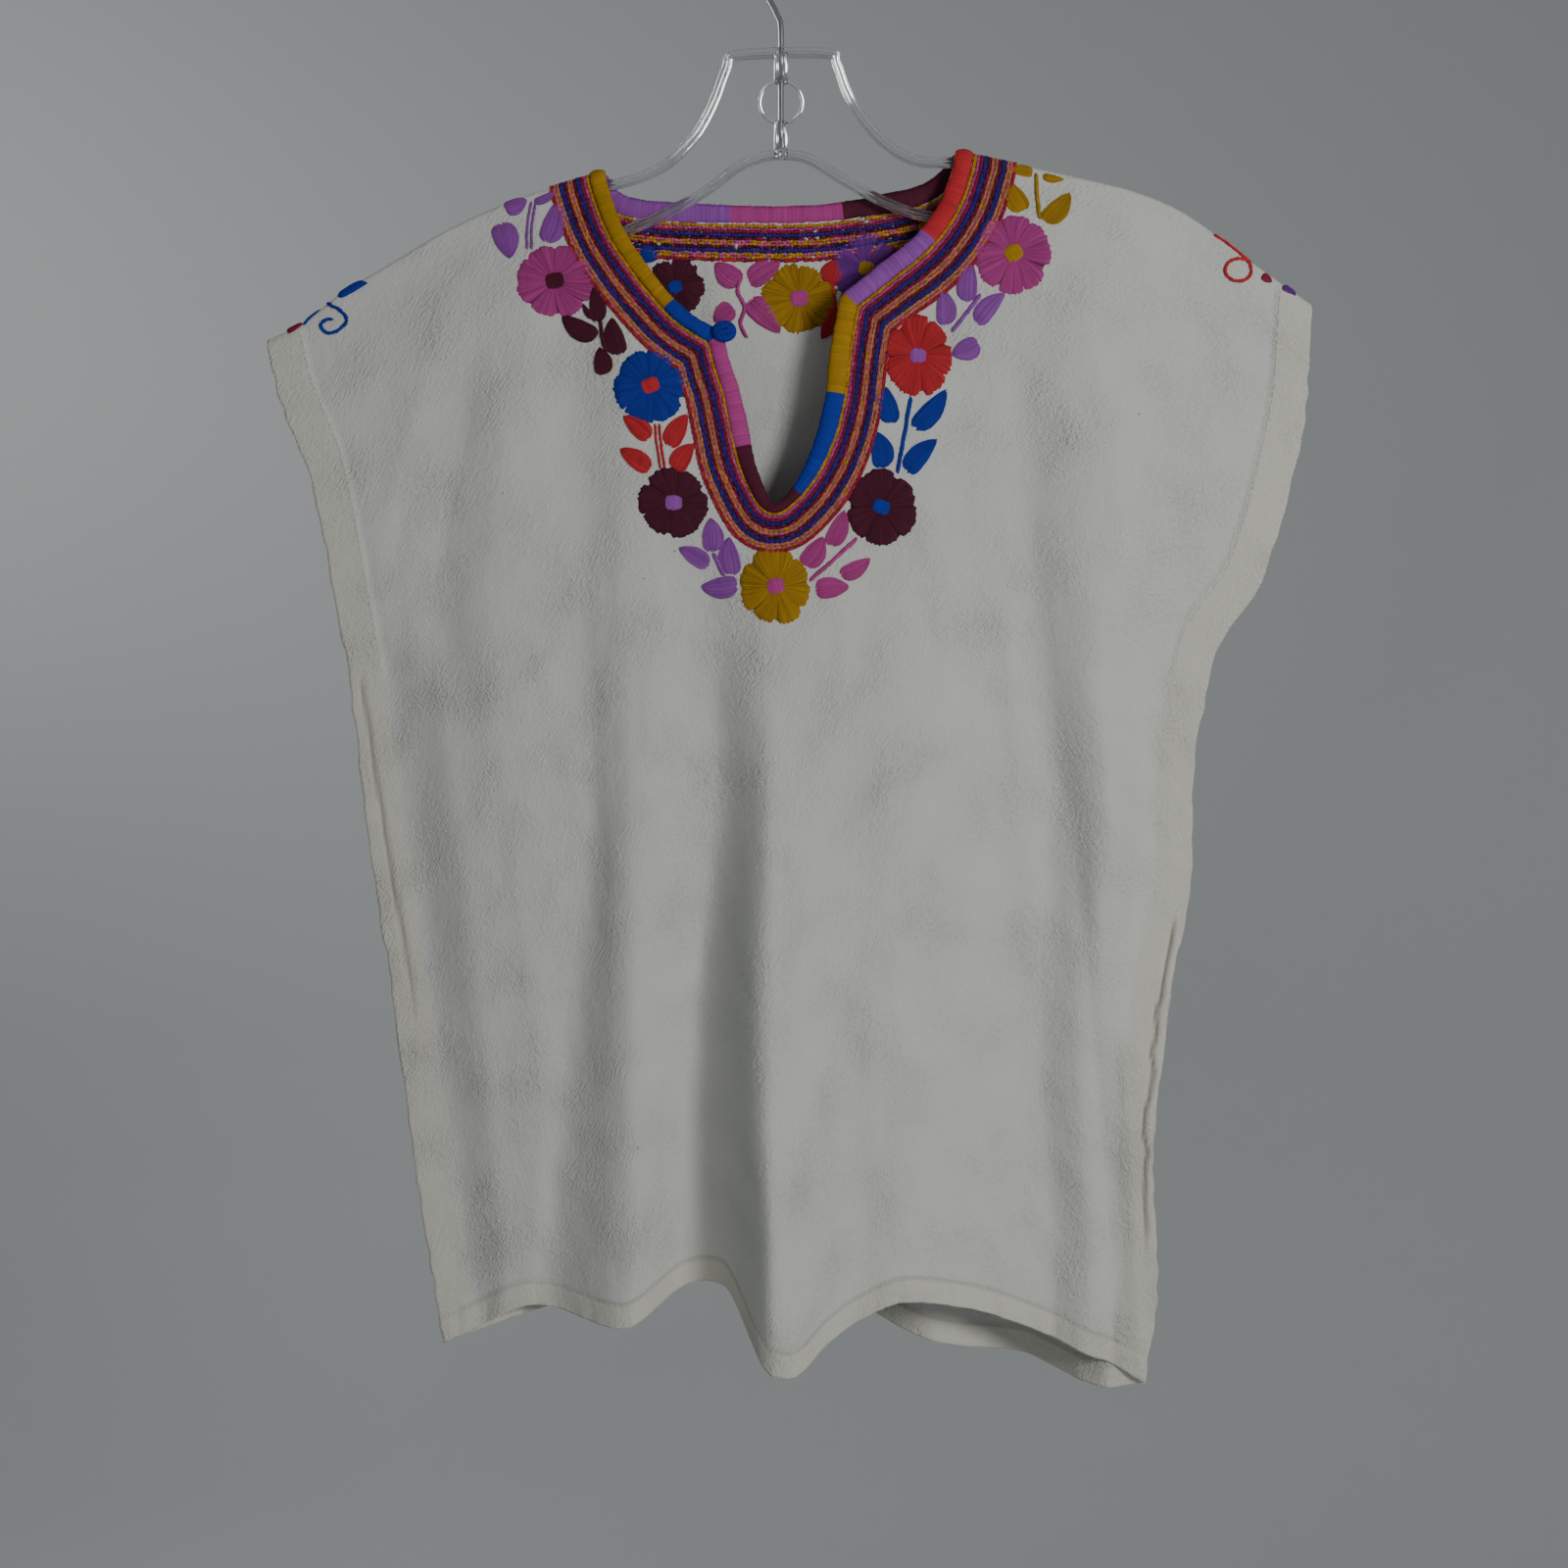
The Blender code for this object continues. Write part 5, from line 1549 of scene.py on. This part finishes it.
@dataclass
class Satin:
    """Satin stitch: a ribbed patch, a rib for each thread, laid on the cloth."""

    face: Face
    finish: bpy.types.Material
    inside: bool = False
    thread: float = 0.76
    rib: float = 0.26

    def lay(self, name: str, flat: Array, lift: Array, colours: Array, mesh: bpy.types.Mesh,
            closed: bool) -> bpy.types.Mesh:
        """Put a grid's points on the cloth and colour them."""
        points, out = DRAPE.lay(self.face, flat, lift, self.inside)
        move_to(mesh, points)
        tint(mesh, colours)
        if closed:
            weld(mesh, caps=False)
            out = np.tile(out.mean(axis=0), (len(mesh.vertices), 1))
        face_out(mesh, out)
        mesh.name = name
        return mesh

    def petals(self, name: str, bloom: Bloom, seed: int) -> bpy.types.Mesh:
        """A ring of rounded petals whose threads run out from the middle."""
        rng = np.random.default_rng(seed)
        threads = round(2 * math.pi * 0.62 * bloom.radius / self.thread / bloom.petals) * bloom.petals
        fine, steps = 3, 10
        mesh, i, j = flat_grid(name, threads * fine, steps)
        wrapped = i % (threads * fine)
        number = wrapped // fine
        phase = (wrapped % fine) / fine
        part = wrapped / (threads * fine) * bloom.petals
        petal = np.floor(part).astype(int) % bloom.petals
        off = np.abs(2 * (part % 1.0) - 1)
        reach = rng.uniform(0.95, 1.05, bloom.petals)[petal]
        sway = rng.uniform(-0.12, 0.12, bloom.petals)[petal]
        ragged = rng.uniform(-0.6, 0.4, threads)[number] * (1.7 if self.inside else 1.0)
        lobe = 0.925 + 0.075 * np.sqrt(np.clip(1 - off**2.4, 0, 1))
        notch = 0.045 * hill(off - 1.0, 0.12) * rng.uniform(0.0, 1.8, bloom.petals)[petal]
        outer = bloom.radius * (lobe * reach - notch) * 1.02 + ragged
        inner = 0.17 * bloom.radius
        u = (j / steps) ** 0.9
        radius = inner + (outer - inner) * u
        angle = math.radians(bloom.turn) + 2 * np.pi * wrapped / (threads * fine)
        angle = angle + sway * u**2 + 0.05 * (off**2) * np.sign(2 * (part % 1.0) - 1) * (0.5 - u)
        offset = np.stack([radius * np.cos(angle), bloom.tall * radius * np.sin(angle)], axis=-1)
        flat = seen(self.face, [Point(bloom.x, bloom.z)]) + offset
        dome = 0.5 + 0.6 * np.sqrt(np.clip(1 - off**2.6, 0, 1)) * np.sin(np.pi * np.clip(0.12 + 0.82 * u, 0, 1)) ** 0.6
        deep = rng.uniform(0.2, 1.0, bloom.petals)[petal]
        crease = hill(off - 1.0, 0.07) * deep * (0.35 + 0.65 * np.sin(np.pi * u**1.4))
        loose = 0.2 * rng.uniform(-1, 1, threads)[number] * u
        lift = dome - 0.3 * crease + self.rib * np.sin(np.pi * phase) + loose
        lift = np.where(j == steps, -0.25, lift)
        # Painted shade: threads darker along the sunk creases between petals, in the grooves between threads, and
        # darker still at some gaps.
        light = shades(threads, seed + 1, 0.2)[number] * (1 - 0.45 * crease)[:, None]
        gaps = (rng.uniform(0, 1, threads)[number] > 0.75) * np.where(phase < 0.2, 1.0, 0.0)
        light = light * (0.62 + 0.38 * np.sqrt(np.sin(np.pi * phase)) - 0.3 * gaps)[:, None]
        return self.lay(name, flat, lift, bloom.yarn.colour * light, mesh, closed=True)

    def oval(self, name: str, middle: Point, turn: float, half: tuple[float, float], bulk: float, yarn: Yarn,
             seed: int) -> bpy.types.Mesh:
        """A filled oval of level threads, as in a flower's eye."""
        threads = max(round(2 * half[0] / self.thread), 5)
        fine, steps = 3, 7
        mesh, i, j = flat_grid(name, threads * fine, steps)
        rng = np.random.default_rng(seed)
        number = np.minimum(i // fine, threads - 1)
        v = 2 * i / (threads * fine) - 1
        u = 2 * j / steps - 1
        chord = np.clip(1 - (0.96 * np.abs(v)) ** 3.2, 0, 1) ** (1 / 2.6)
        ragged = 1 + rng.uniform(-0.1, 0.06, threads)[number]
        local = np.stack([half[0] * v, half[1] * u * chord * ragged], axis=-1)
        c, s = math.cos(math.radians(turn)), math.sin(math.radians(turn))
        flat = seen(self.face, [middle]) + local @ np.array([[c, s], [-s, c]])
        rim = (np.abs(u) > 0.99) | (np.abs(v) > 0.99)
        lift = bulk * (0.5 + 0.5 * np.sqrt(np.clip(1 - u**2, 0, 1)) * chord) + self.rib * np.sin(np.pi * (i % fine) / fine)
        lift = np.where(rim, -0.2, lift)
        light = shades(threads, seed + 1, 0.14)[number]
        return self.lay(name, flat, lift, yarn.colour * light, mesh, closed=False)

    def leaf(self, name: str, leaf: Leaf, yarn: Yarn, seed: int) -> bpy.types.Mesh:
        """A pointed leaf whose threads run from its foot to its tip."""
        threads = max(round(leaf.width / self.thread), 5)
        fine, steps = 3, 8
        mesh, i, j = flat_grid(name, threads * fine, steps)
        rng = np.random.default_rng(seed)
        number = np.minimum(i // fine, threads - 1)
        v = 2 * i / (threads * fine) - 1
        early = rng.uniform(0.0, 0.06, threads)[number]
        late = rng.uniform(0.0, 0.07, threads)[number] * (1 - 0.7 * (np.abs(v) < 0.3))
        u = early + (1 - early - late) * j / steps
        swell = np.clip(2.6 * np.sqrt(np.clip(u, 0, 1)) * (1 - u) ** 0.9, 0, 1)
        ends = seen(self.face, [Point(leaf.x, leaf.z), Point(leaf.tip_x, leaf.tip_z)])
        ahead = ends[1] - ends[0]
        length = float(np.linalg.norm(ahead))
        bend = rng.choice((-1, 1)) * rng.uniform(0.03, 0.1) * length
        side = v * 0.5 * leaf.width * np.maximum(swell, 0.07) + bend * 4 * u * (1 - u)
        c, s = ahead / length
        local = np.stack([u * length, side], axis=-1)
        flat = ends[0] + local @ np.array([[c, s], [-s, c]])
        rim = (np.abs(v) > 0.99) | (j == 0) | (j == steps)
        dome = 0.35 + 0.75 * np.sqrt(np.clip(1 - v**2, 0, 1)) * np.sqrt(np.clip(swell, 0, 1))
        lift = dome + self.rib * np.sin(np.pi * (i % fine) / fine) + 0.1 * rng.uniform(-1, 1, threads)[number]
        lift = np.where(rim, -0.2, lift)
        # Painted shade: each thread is darker towards the grooves at its sides and full colour on its rib.
        rib_shading = np.sqrt(np.sin(np.pi * (i % fine) / fine))
        light = shades(threads, seed + 1, 0.2)[number] * (0.62 + 0.38 * rib_shading)[:, None]
        return self.lay(name, flat, lift, yarn.colour * light, mesh, closed=False)

    def line(self, name: str, points: Sequence[Point], yarn: Yarn, seed: int, half: float = 1.2,
             sideways: float = 0.0) -> bpy.types.Mesh:
        """A line of stem stitch, each stitch slanting over the last."""
        path = Path(seen(self.face, Path.through(points).points) + (sideways, 0.0))
        count = max(round(path.length / 1.7), 3)
        pitch = path.length / count
        rng = np.random.default_rng(seed)
        jitter = rng.uniform(-0.2, 0.2, count)

        def curve(which: Array, along: Array) -> tuple[Array, Array]:
            """A stitch's line."""
            place = (which + 0.5 + (along - 0.5) * 2.1) * pitch
            lean = half * (1 - 2 * along) * 0.55 + jitter[which]
            flat = path.beside(np.clip(place, 0, path.length), lean)
            bow = np.sin(np.pi * np.clip(along, 0, 1))
            return DRAPE.lay(self.face, flat, 0.15 + 0.55 * bow, self.inside)

        light = shades(count, seed + 1, 0.16)
        threads = Strands(name, count, sides=5, steps=5)
        return threads.bend(curve, lambda which, along: half * (0.75 - 0.3 * np.abs(2 * along - 1) ** 3), 0.75,
                            lambda which: yarn.colour * light[which])


def join(name: str, meshes: Sequence[bpy.types.Mesh], finish: bpy.types.Material) -> bpy.types.Object:
    """One piece out of several meshes, with their colours kept."""
    whole = bmesh.new()
    for mesh in meshes:
        whole.from_mesh(mesh)
    made = bpy.data.meshes.new(name)
    whole.to_mesh(made)
    whole.free()
    for mesh in meshes:
        bpy.data.meshes.remove(mesh)
    return add(name, made, finish)


@dataclass
class Embroidery:
    """The flowers, leaves, stems and sleeve motifs of one half, with their reverse inside the back."""

    face: Face
    finish: bpy.types.Material

    @property
    def word(self) -> str:
        """The half's name."""
        return self.face.name.lower()

    def bloom(self, satin: Satin, bloom: Bloom, name: str, seed: int) -> bpy.types.Object:
        """A flower with its eye."""
        eye = 0.245 * bloom.radius
        parts = [satin.petals(name + "_petals", bloom, seed),
                 satin.oval(name + "_eye", Point(bloom.x, bloom.z), bloom.turn - 80, (eye, 1.12 * eye), 1.35,
                            bloom.eye, seed + 3)]
        return join(name, parts, self.finish)

    def sprig(self, satin: Satin, sprig: Sprig, name: str, seed: int) -> bpy.types.Object:
        """Leaves and their stem."""
        parts = [satin.leaf(f"{name}_{k}", leaf, sprig.yarn, seed + 5 * k) for k, leaf in enumerate(sprig.leaves)]
        if sprig.stem and sprig.twin:
            parts += [satin.line(f"{name}_stem_{k}", sprig.stem, sprig.yarn, seed + 50 + k, 0.75, way)
                      for k, way in enumerate((-1.25, 1.25))]
        elif sprig.stem:
            parts.append(satin.line(name + "_stem", sprig.stem, sprig.yarn, seed + 50))
        return join(name, parts, self.finish)

    def build(self) -> list[bpy.types.Object]:
        """Make every motif."""
        front = self.face is Face.FRONT
        blooms = FRONT_BLOOMS if front else BACK_BLOOMS
        sprigs = FRONT_SPRIGS if front else BACK_SPRIGS
        made = []
        for inside in (False, True):
            satin = Satin(self.face, self.finish, inside)
            word = self.word + ("_reverse" if inside else "")
            for k, bloom in enumerate(blooms):
                made.append(self.bloom(satin, bloom, f"{word}_flower_{k + 1}", 300 + 10 * k + 100 * inside))
            for k, sprig in enumerate(sprigs):
                made.append(self.sprig(satin, sprig, f"{word}_sprig_{sprig.name}", 500 + 60 * k + 7 * inside))
        satin = Satin(self.face, self.finish)
        for k, sprig in enumerate(SLEEVE_LEAVES):
            made.append(self.sprig(satin, sprig, f"{self.word}_sleeve_{sprig.name}", 900 + 20 * k))
        for k, stroke in enumerate(SLEEVE_STROKES):
            mesh = satin.line(f"{self.word}_sleeve_{stroke.name}", stroke.points, stroke.yarn, 960 + 9 * k, 1.05)
            made.append(add(mesh.name, mesh, self.finish))
        turn = np.linspace(0, 2 * np.pi, 13)
        ring = [Point(RING_MIDDLE.x + RING_SIZE * math.cos(t), RING_MIDDLE.z + RING_SIZE * 0.86 * math.sin(t))
                for t in turn]
        mesh = satin.line(f"{self.word}_sleeve_ring", ring, Yarn.CORAL, 990, 1.0)
        made.append(add(mesh.name, mesh, self.finish))
        return made


@dataclass
class SeamStitches:
    """Small sewn stitches in the grooves of the hems and seams of one half."""

    face: Face
    finish: bpy.types.Material
    pitch: float = 3.1

    def build(self) -> bpy.types.Object:
        """Make the piece: the hem's line and the two sleeves' lines."""
        across = np.linspace(0.05, 0.95, 400)
        hem_z = DRAPE.hems[self.face].at(across) + HEM_WIDTH
        left, right = DRAPE.left_edge.at(np.full_like(across, 0.98)), DRAPE.right_edge.at(np.full_like(across, 0.98))
        lines = [Path(np.stack([left + (right - left) * across, hem_z], axis=-1))]
        down = np.linspace(0.01, 0.31, 200)
        for side, way, edge in ((0.0, 1.0, DRAPE.left_edge), (1.0, -1.0, DRAPE.right_edge)):
            foot = DRAPE.crown_foot(np.full_like(down, side + way * 0.04))
            hem = DRAPE.hems[self.face].at(np.full_like(down, side))
            z = foot + (hem - foot) * down
            lines.append(Path(np.stack([edge.at(down) + way * (SEAM_WIDTH - 1.5), z], axis=-1)))
        counts = [round(line.length / self.pitch) for line in lines]
        starts = np.concatenate([[0], np.cumsum(counts)])
        owner = np.repeat(np.arange(len(lines)), counts)
        jitter = np.random.default_rng(5).uniform(-0.25, 0.25, (len(owner), 2))

        def curve(which: Array, along: Array) -> tuple[Array, Array]:
            """A stitch's line."""
            flat = np.empty((len(which), 2))
            for k, line in enumerate(lines):
                chosen = owner[which] == k
                place = (which[chosen] - starts[k] + 0.5 + (along[chosen] - 0.5) * 0.62 + jitter[which[chosen], 0])
                flat[chosen] = line.beside(np.clip(place * self.pitch, 0, line.length), jitter[which[chosen], 1])
            return DRAPE.lay(self.face, flat, -0.12 + 0.3 * np.sin(np.pi * np.clip(along, 0, 1)))

        threads = Strands(f"{self.face.name.lower()}_stitches", len(owner), sides=5, steps=4)
        mesh = threads.bend(curve, lambda which, along: 0.24 + 0 * along, 1.0,
                            lambda which: np.tile(Yarn.COTTON.colour, (len(which), 1)))
        return add(threads.name, mesh, self.finish)


def tube(name: str, ring: Ring, section: Array, closed: bool) -> bpy.types.Mesh:
    """A section swept along frames.

    Args:
        name: the mesh's name.
        ring: middles and ways at each station.
        section: sideways and outward offsets round the section, in order.
        closed: whether the last station meets the first.

    Returns:
        The closed mesh.
    """
    stations = len(ring.middle) - (0 if closed else 1)
    mesh, i, j = flat_grid(name, stations, len(section))
    i, j = i % len(ring.middle), j % len(section)
    move_to(mesh, ring.middle[i] + section[j, :1] * ring.side[i] + section[j, 1:] * ring.out[i])
    weld(mesh, caps=not closed)
    return mesh


def planar_ring(path: Array, closed: bool) -> Ring:
    """Frames of a line that lies in the hanger's middle plane."""
    middle = np.stack([path[:, 0], 0 * path[:, 0], path[:, 1]], axis=-1)
    ahead, behind = np.roll(middle, -1, axis=0), np.roll(middle, 1, axis=0)
    if not closed:
        ahead[-1], behind[0] = middle[-1], middle[0]
    return frames(middle, ahead, behind, np.tile([0.0, -1.0, 0.0], (len(path), 1)))


def smooth_loop(points: Sequence[Point], step: float) -> Array:
    """A closed smooth line through points, at even steps."""
    wrapped = [*points[-2:], *points, *points[:3]]
    path = Path.through(wrapped, step)
    start, end = path.nearest(points[0]), None
    lengths = path.lengths
    gaps = np.linalg.norm(path.points - np.array(points[0]), axis=1)
    late = lengths > 0.5 * path.length
    end = lengths[late][int(np.argmin(gaps[late]))]
    count = round((end - start) / step)
    return path.at(start + (end - start) * np.arange(count) / count)


@dataclass
class Hanger:
    """The clear moulded hanger: a grooved rail in one loop, two sockets, a small ring and the hook."""

    clear: bpy.types.Material
    steel: bpy.types.Material
    rail_height: float = 5.0
    rail_depth: float = 7.0
    seat: float = 0.55
    cloth: float = 1.5
    sockets: tuple[tuple[float, float], ...] = ((-96.2, -79.3), (-137.6, -118.0))
    socket_radius: float = 3.9
    bore_radius: float = 1.75
    ring_middle: Point = Point(0.0, -107.0)
    ring_radius: float = 12.0
    ring_wire: float = 0.9
    wire_radius: float = 1.5
    hook_radius: float = 20.9
    shank: tuple[float, float] = (-133.0, -66.0)

    def seated(self, x: float) -> Point:
        """Where the rail's middle lies under the shoulder's cloth."""
        ahead, behind = (float(DRAPE.shoulder.at(np.array(x + way))) for way in (2.0, -2.0))
        drop = self.cloth * math.hypot(1, (ahead - behind) / 4.0) + self.seat + self.rail_height / 2
        return Point(x, float(DRAPE.shoulder.at(np.array(x))) - drop)

    def rail(self) -> bpy.types.Mesh:
        """The rail's loop, with a shallow groove along its front and back."""
        upper = [self.seated(x) for x in ARM_LEFT] + list(RAIL_NECK) + [self.seated(x) for x in ARM_RIGHT]
        lower = list(BAR_LEFT) + list(BAR_NECK) + list(BAR_RIGHT)
        loop = smooth_loop(upper + list(TIP_RIGHT) + lower[::-1] + list(reversed(TIP_LEFT)), 2.5)
        h, d = self.rail_height / 2, self.rail_depth / 2
        quarter = [(h * 0.0, d * 0.62), (h * 0.34, d * 0.66), (h * 0.5, d * 0.94), (h * 0.66, d), (h * 0.86, d * 0.93),
                   (h * 0.98, d * 0.74), (h, d * 0.4)]
        upper_half = quarter + [(a, -b) for a, b in reversed(quarter)]
        section = upper_half + [(-a, -b) for a, b in upper_half[1:-1]]
        return tube("rail", planar_ring(loop, True), np.array(section), True)

    def sleeve(self, low: float, high: float) -> bpy.types.Mesh:
        """A socket: a hollow round with rounded mouths, turned about the wire."""
        profile = bmesh.new()
        r, b, soft = self.socket_radius, self.bore_radius, 0.5
        marks = ((b, low + soft), (b + soft, low), (r - soft, low), (r, low + soft), (r, high - soft),
                 (r - soft, high), (b + soft, high), (b, high - soft), (b, low + soft))
        corners = [profile.verts.new(Vector((x, 0, z)) * MM) for x, z in marks]
        edges = [profile.edges.new(pair) for pair in zip(corners, corners[1:])]
        bmesh.ops.spin(profile, geom=corners + edges, axis=(0, 0, 1), cent=(0, 0, 0), steps=28, angle=2 * math.pi,
                       use_merge=True)
        bmesh.ops.remove_doubles(profile, verts=profile.verts, dist=1e-6)
        bmesh.ops.recalc_face_normals(profile, faces=profile.faces)
        mesh = bpy.data.meshes.new("socket")
        profile.to_mesh(mesh)
        profile.free()
        return mesh

    def eye(self) -> bpy.types.Mesh:
        """The small ring between the sockets."""
        turn = np.linspace(0, 2 * np.pi, 49)[:-1]
        path = np.stack([self.ring_middle.x + self.ring_radius * np.cos(turn),
                         self.ring_middle.z + self.ring_radius * np.sin(turn)], axis=-1)
        angle = np.linspace(0, 2 * np.pi, 11)[:-1]
        section = self.ring_wire * np.stack([np.cos(angle), np.sin(angle)], axis=-1)
        return tube("eye", planar_ring(path, True), section, True)

    def hook(self) -> bpy.types.Object:
        """The wire: a straight shank, a lean to the left, and the open round hook, its ends capped flat."""
        centre = -(self.hook_radius - self.wire_radius)
        path = [Point(0, self.shank[0]), Point(0, sum(self.shank) / 2), Point(0, self.shank[1]),
                Point(-2.2, -57.5), Point(-7.2, -48.0)]
        for angle in range(210, -31, -15):
            turn = math.radians(angle)
            path.append(Point(self.hook_radius * math.cos(turn), centre + self.hook_radius * math.sin(turn)))
        line = Path.through(path, 1.2).points
        angle = np.linspace(0, 2 * np.pi, 17)[:-1]
        section = self.wire_radius * np.stack([np.cos(angle), np.sin(angle)], axis=-1)
        mesh = tube("wire_hook", planar_ring(line, False), section, False)
        made = add("wire_hook", mesh, self.steel)
        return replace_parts(made, "hanger_hook")

    def build(self) -> list[bpy.types.Object]:
        """Make the hanger's pieces."""
        parts = [self.rail(), *(self.sleeve(*ends) for ends in self.sockets), self.eye()]
        frame = join("clear_frame", parts, self.clear)
        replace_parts(frame, "hanger_frame")
        return [frame, self.hook()]


@dataclass
class Studio:
    """The camera at the photo's angle, soft lights, and a pale floor that rises all round."""

    distance: float = 1.15
    across: float = 0.88
    floor: float = -1.9
    radius: float = 3.2

    def camera(self) -> None:
        """Set the camera."""
        data = bpy.data.cameras.new("camera")
        data.sensor_width = 36.0
        data.lens = data.sensor_width * self.distance / self.across
        camera = bpy.data.objects.new("camera", data)
        camera.location = (0.00165, -self.distance, -0.4894)
        camera.rotation_euler = (math.radians(90), 0, 0)
        bpy.context.scene.collection.objects.link(camera)
        bpy.context.scene.camera = camera

    def light(self, name: str, place: tuple[float, float, float], size: float, power: float,
              target: tuple[float, float, float] = (0.0, 0.0, -0.45)) -> None:
        """Add a soft light aimed at the blouse's middle or another target."""
        data = bpy.data.lights.new(name, "AREA")
        data.shape = "DISK"
        data.size = size
        data.energy = power
        lamp = bpy.data.objects.new(name, data)
        lamp.location = place
        aim = Vector(target) - Vector(place)
        lamp.rotation_euler = aim.to_track_quat("-Z", "Y").to_euler()
        bpy.context.scene.collection.objects.link(lamp)

    def bowl(self) -> None:
        """The floor, with its rim turned up in a quarter round."""
        profile = bmesh.new()
        marks = [(0.0, self.floor), (self.radius - 0.9, self.floor)]
        marks += [(self.radius - 0.9 + 0.9 * math.sin(t), self.floor + 0.9 * (1 - math.cos(t)))
                  for t in (math.radians(angle) for angle in range(15, 91, 15))]
        marks.append((self.radius, self.floor + 3.6))
        corners = [profile.verts.new((x, 0, z)) for x, z in marks]
        edges = [profile.edges.new(pair) for pair in zip(corners, corners[1:])]
        bmesh.ops.spin(profile, geom=corners + edges, axis=(0, 0, 1), cent=(0, 0, 0), steps=64,
                       angle=2 * math.pi, use_merge=True)
        bmesh.ops.remove_doubles(profile, verts=profile.verts, dist=1e-6)
        mesh = bpy.data.meshes.new("floor")
        profile.to_mesh(mesh)
        profile.free()
        mesh.materials.append(Backdrop().make())
        mesh.shade_smooth()
        floor = bpy.data.objects.new("floor", mesh)
        bpy.context.scene.collection.objects.link(floor)

    def build(self) -> None:
        """Make the camera, the lights and the floor."""
        self.camera()
        self.light("key", (0.95, -1.5, -0.15), 0.5, 15.0)
        self.light("fill", (-1.0, -1.7, -0.5), 1.2, 0.8)
        self.light("low", (0.5, -1.7, -1.1), 0.8, 1.8)
        self.light("wall", (-1.5, 0.9, 0.5), 0.9, 18.0, (0.0, 3.2, 0.0))
        self.light("rear", (-0.8, 1.5, 0.4), 0.9, 13.0)
        self.light("rear_low", (1.2, 1.2, -0.6), 0.9, 4.0)
        self.bowl()
        world = bpy.data.worlds.new("world")
        world.use_nodes = True
        world.node_tree.nodes["Background"].inputs["Color"].default_value = (0.92, 0.96, 1.0, 1.0)
        world.node_tree.nodes["Background"].inputs["Strength"].default_value = 0.16
        bpy.context.scene.world = world


def main() -> None:
    """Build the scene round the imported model."""
    logging.basicConfig(level=logging.INFO, format="%(name)s: %(message)s")
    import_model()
    Studio().build()
    cotton = Cotton().make()
    thread = Thread().make()
    binding = Thread("binding_thread", 0.55).make()
    for face in Face:
        cloth = ClothHalf(face, cotton).build()
        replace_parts(cloth, "front" if face is Face.FRONT else "back")
        report(cloth)
        for piece in BraidBand(face, thread).build():
            report(piece)
        report(Binding(face, binding).build())
        for piece in Embroidery(face, thread).build():
            report(piece)
        report(SeamStitches(face, thread).build())
    button = Button(binding)
    report(button.core())
    report(button.build())
    for piece in Hanger(ClearPlastic().make(), SteelWire().make()).build():
        report(piece)


if __name__ == "__main__":
    main()
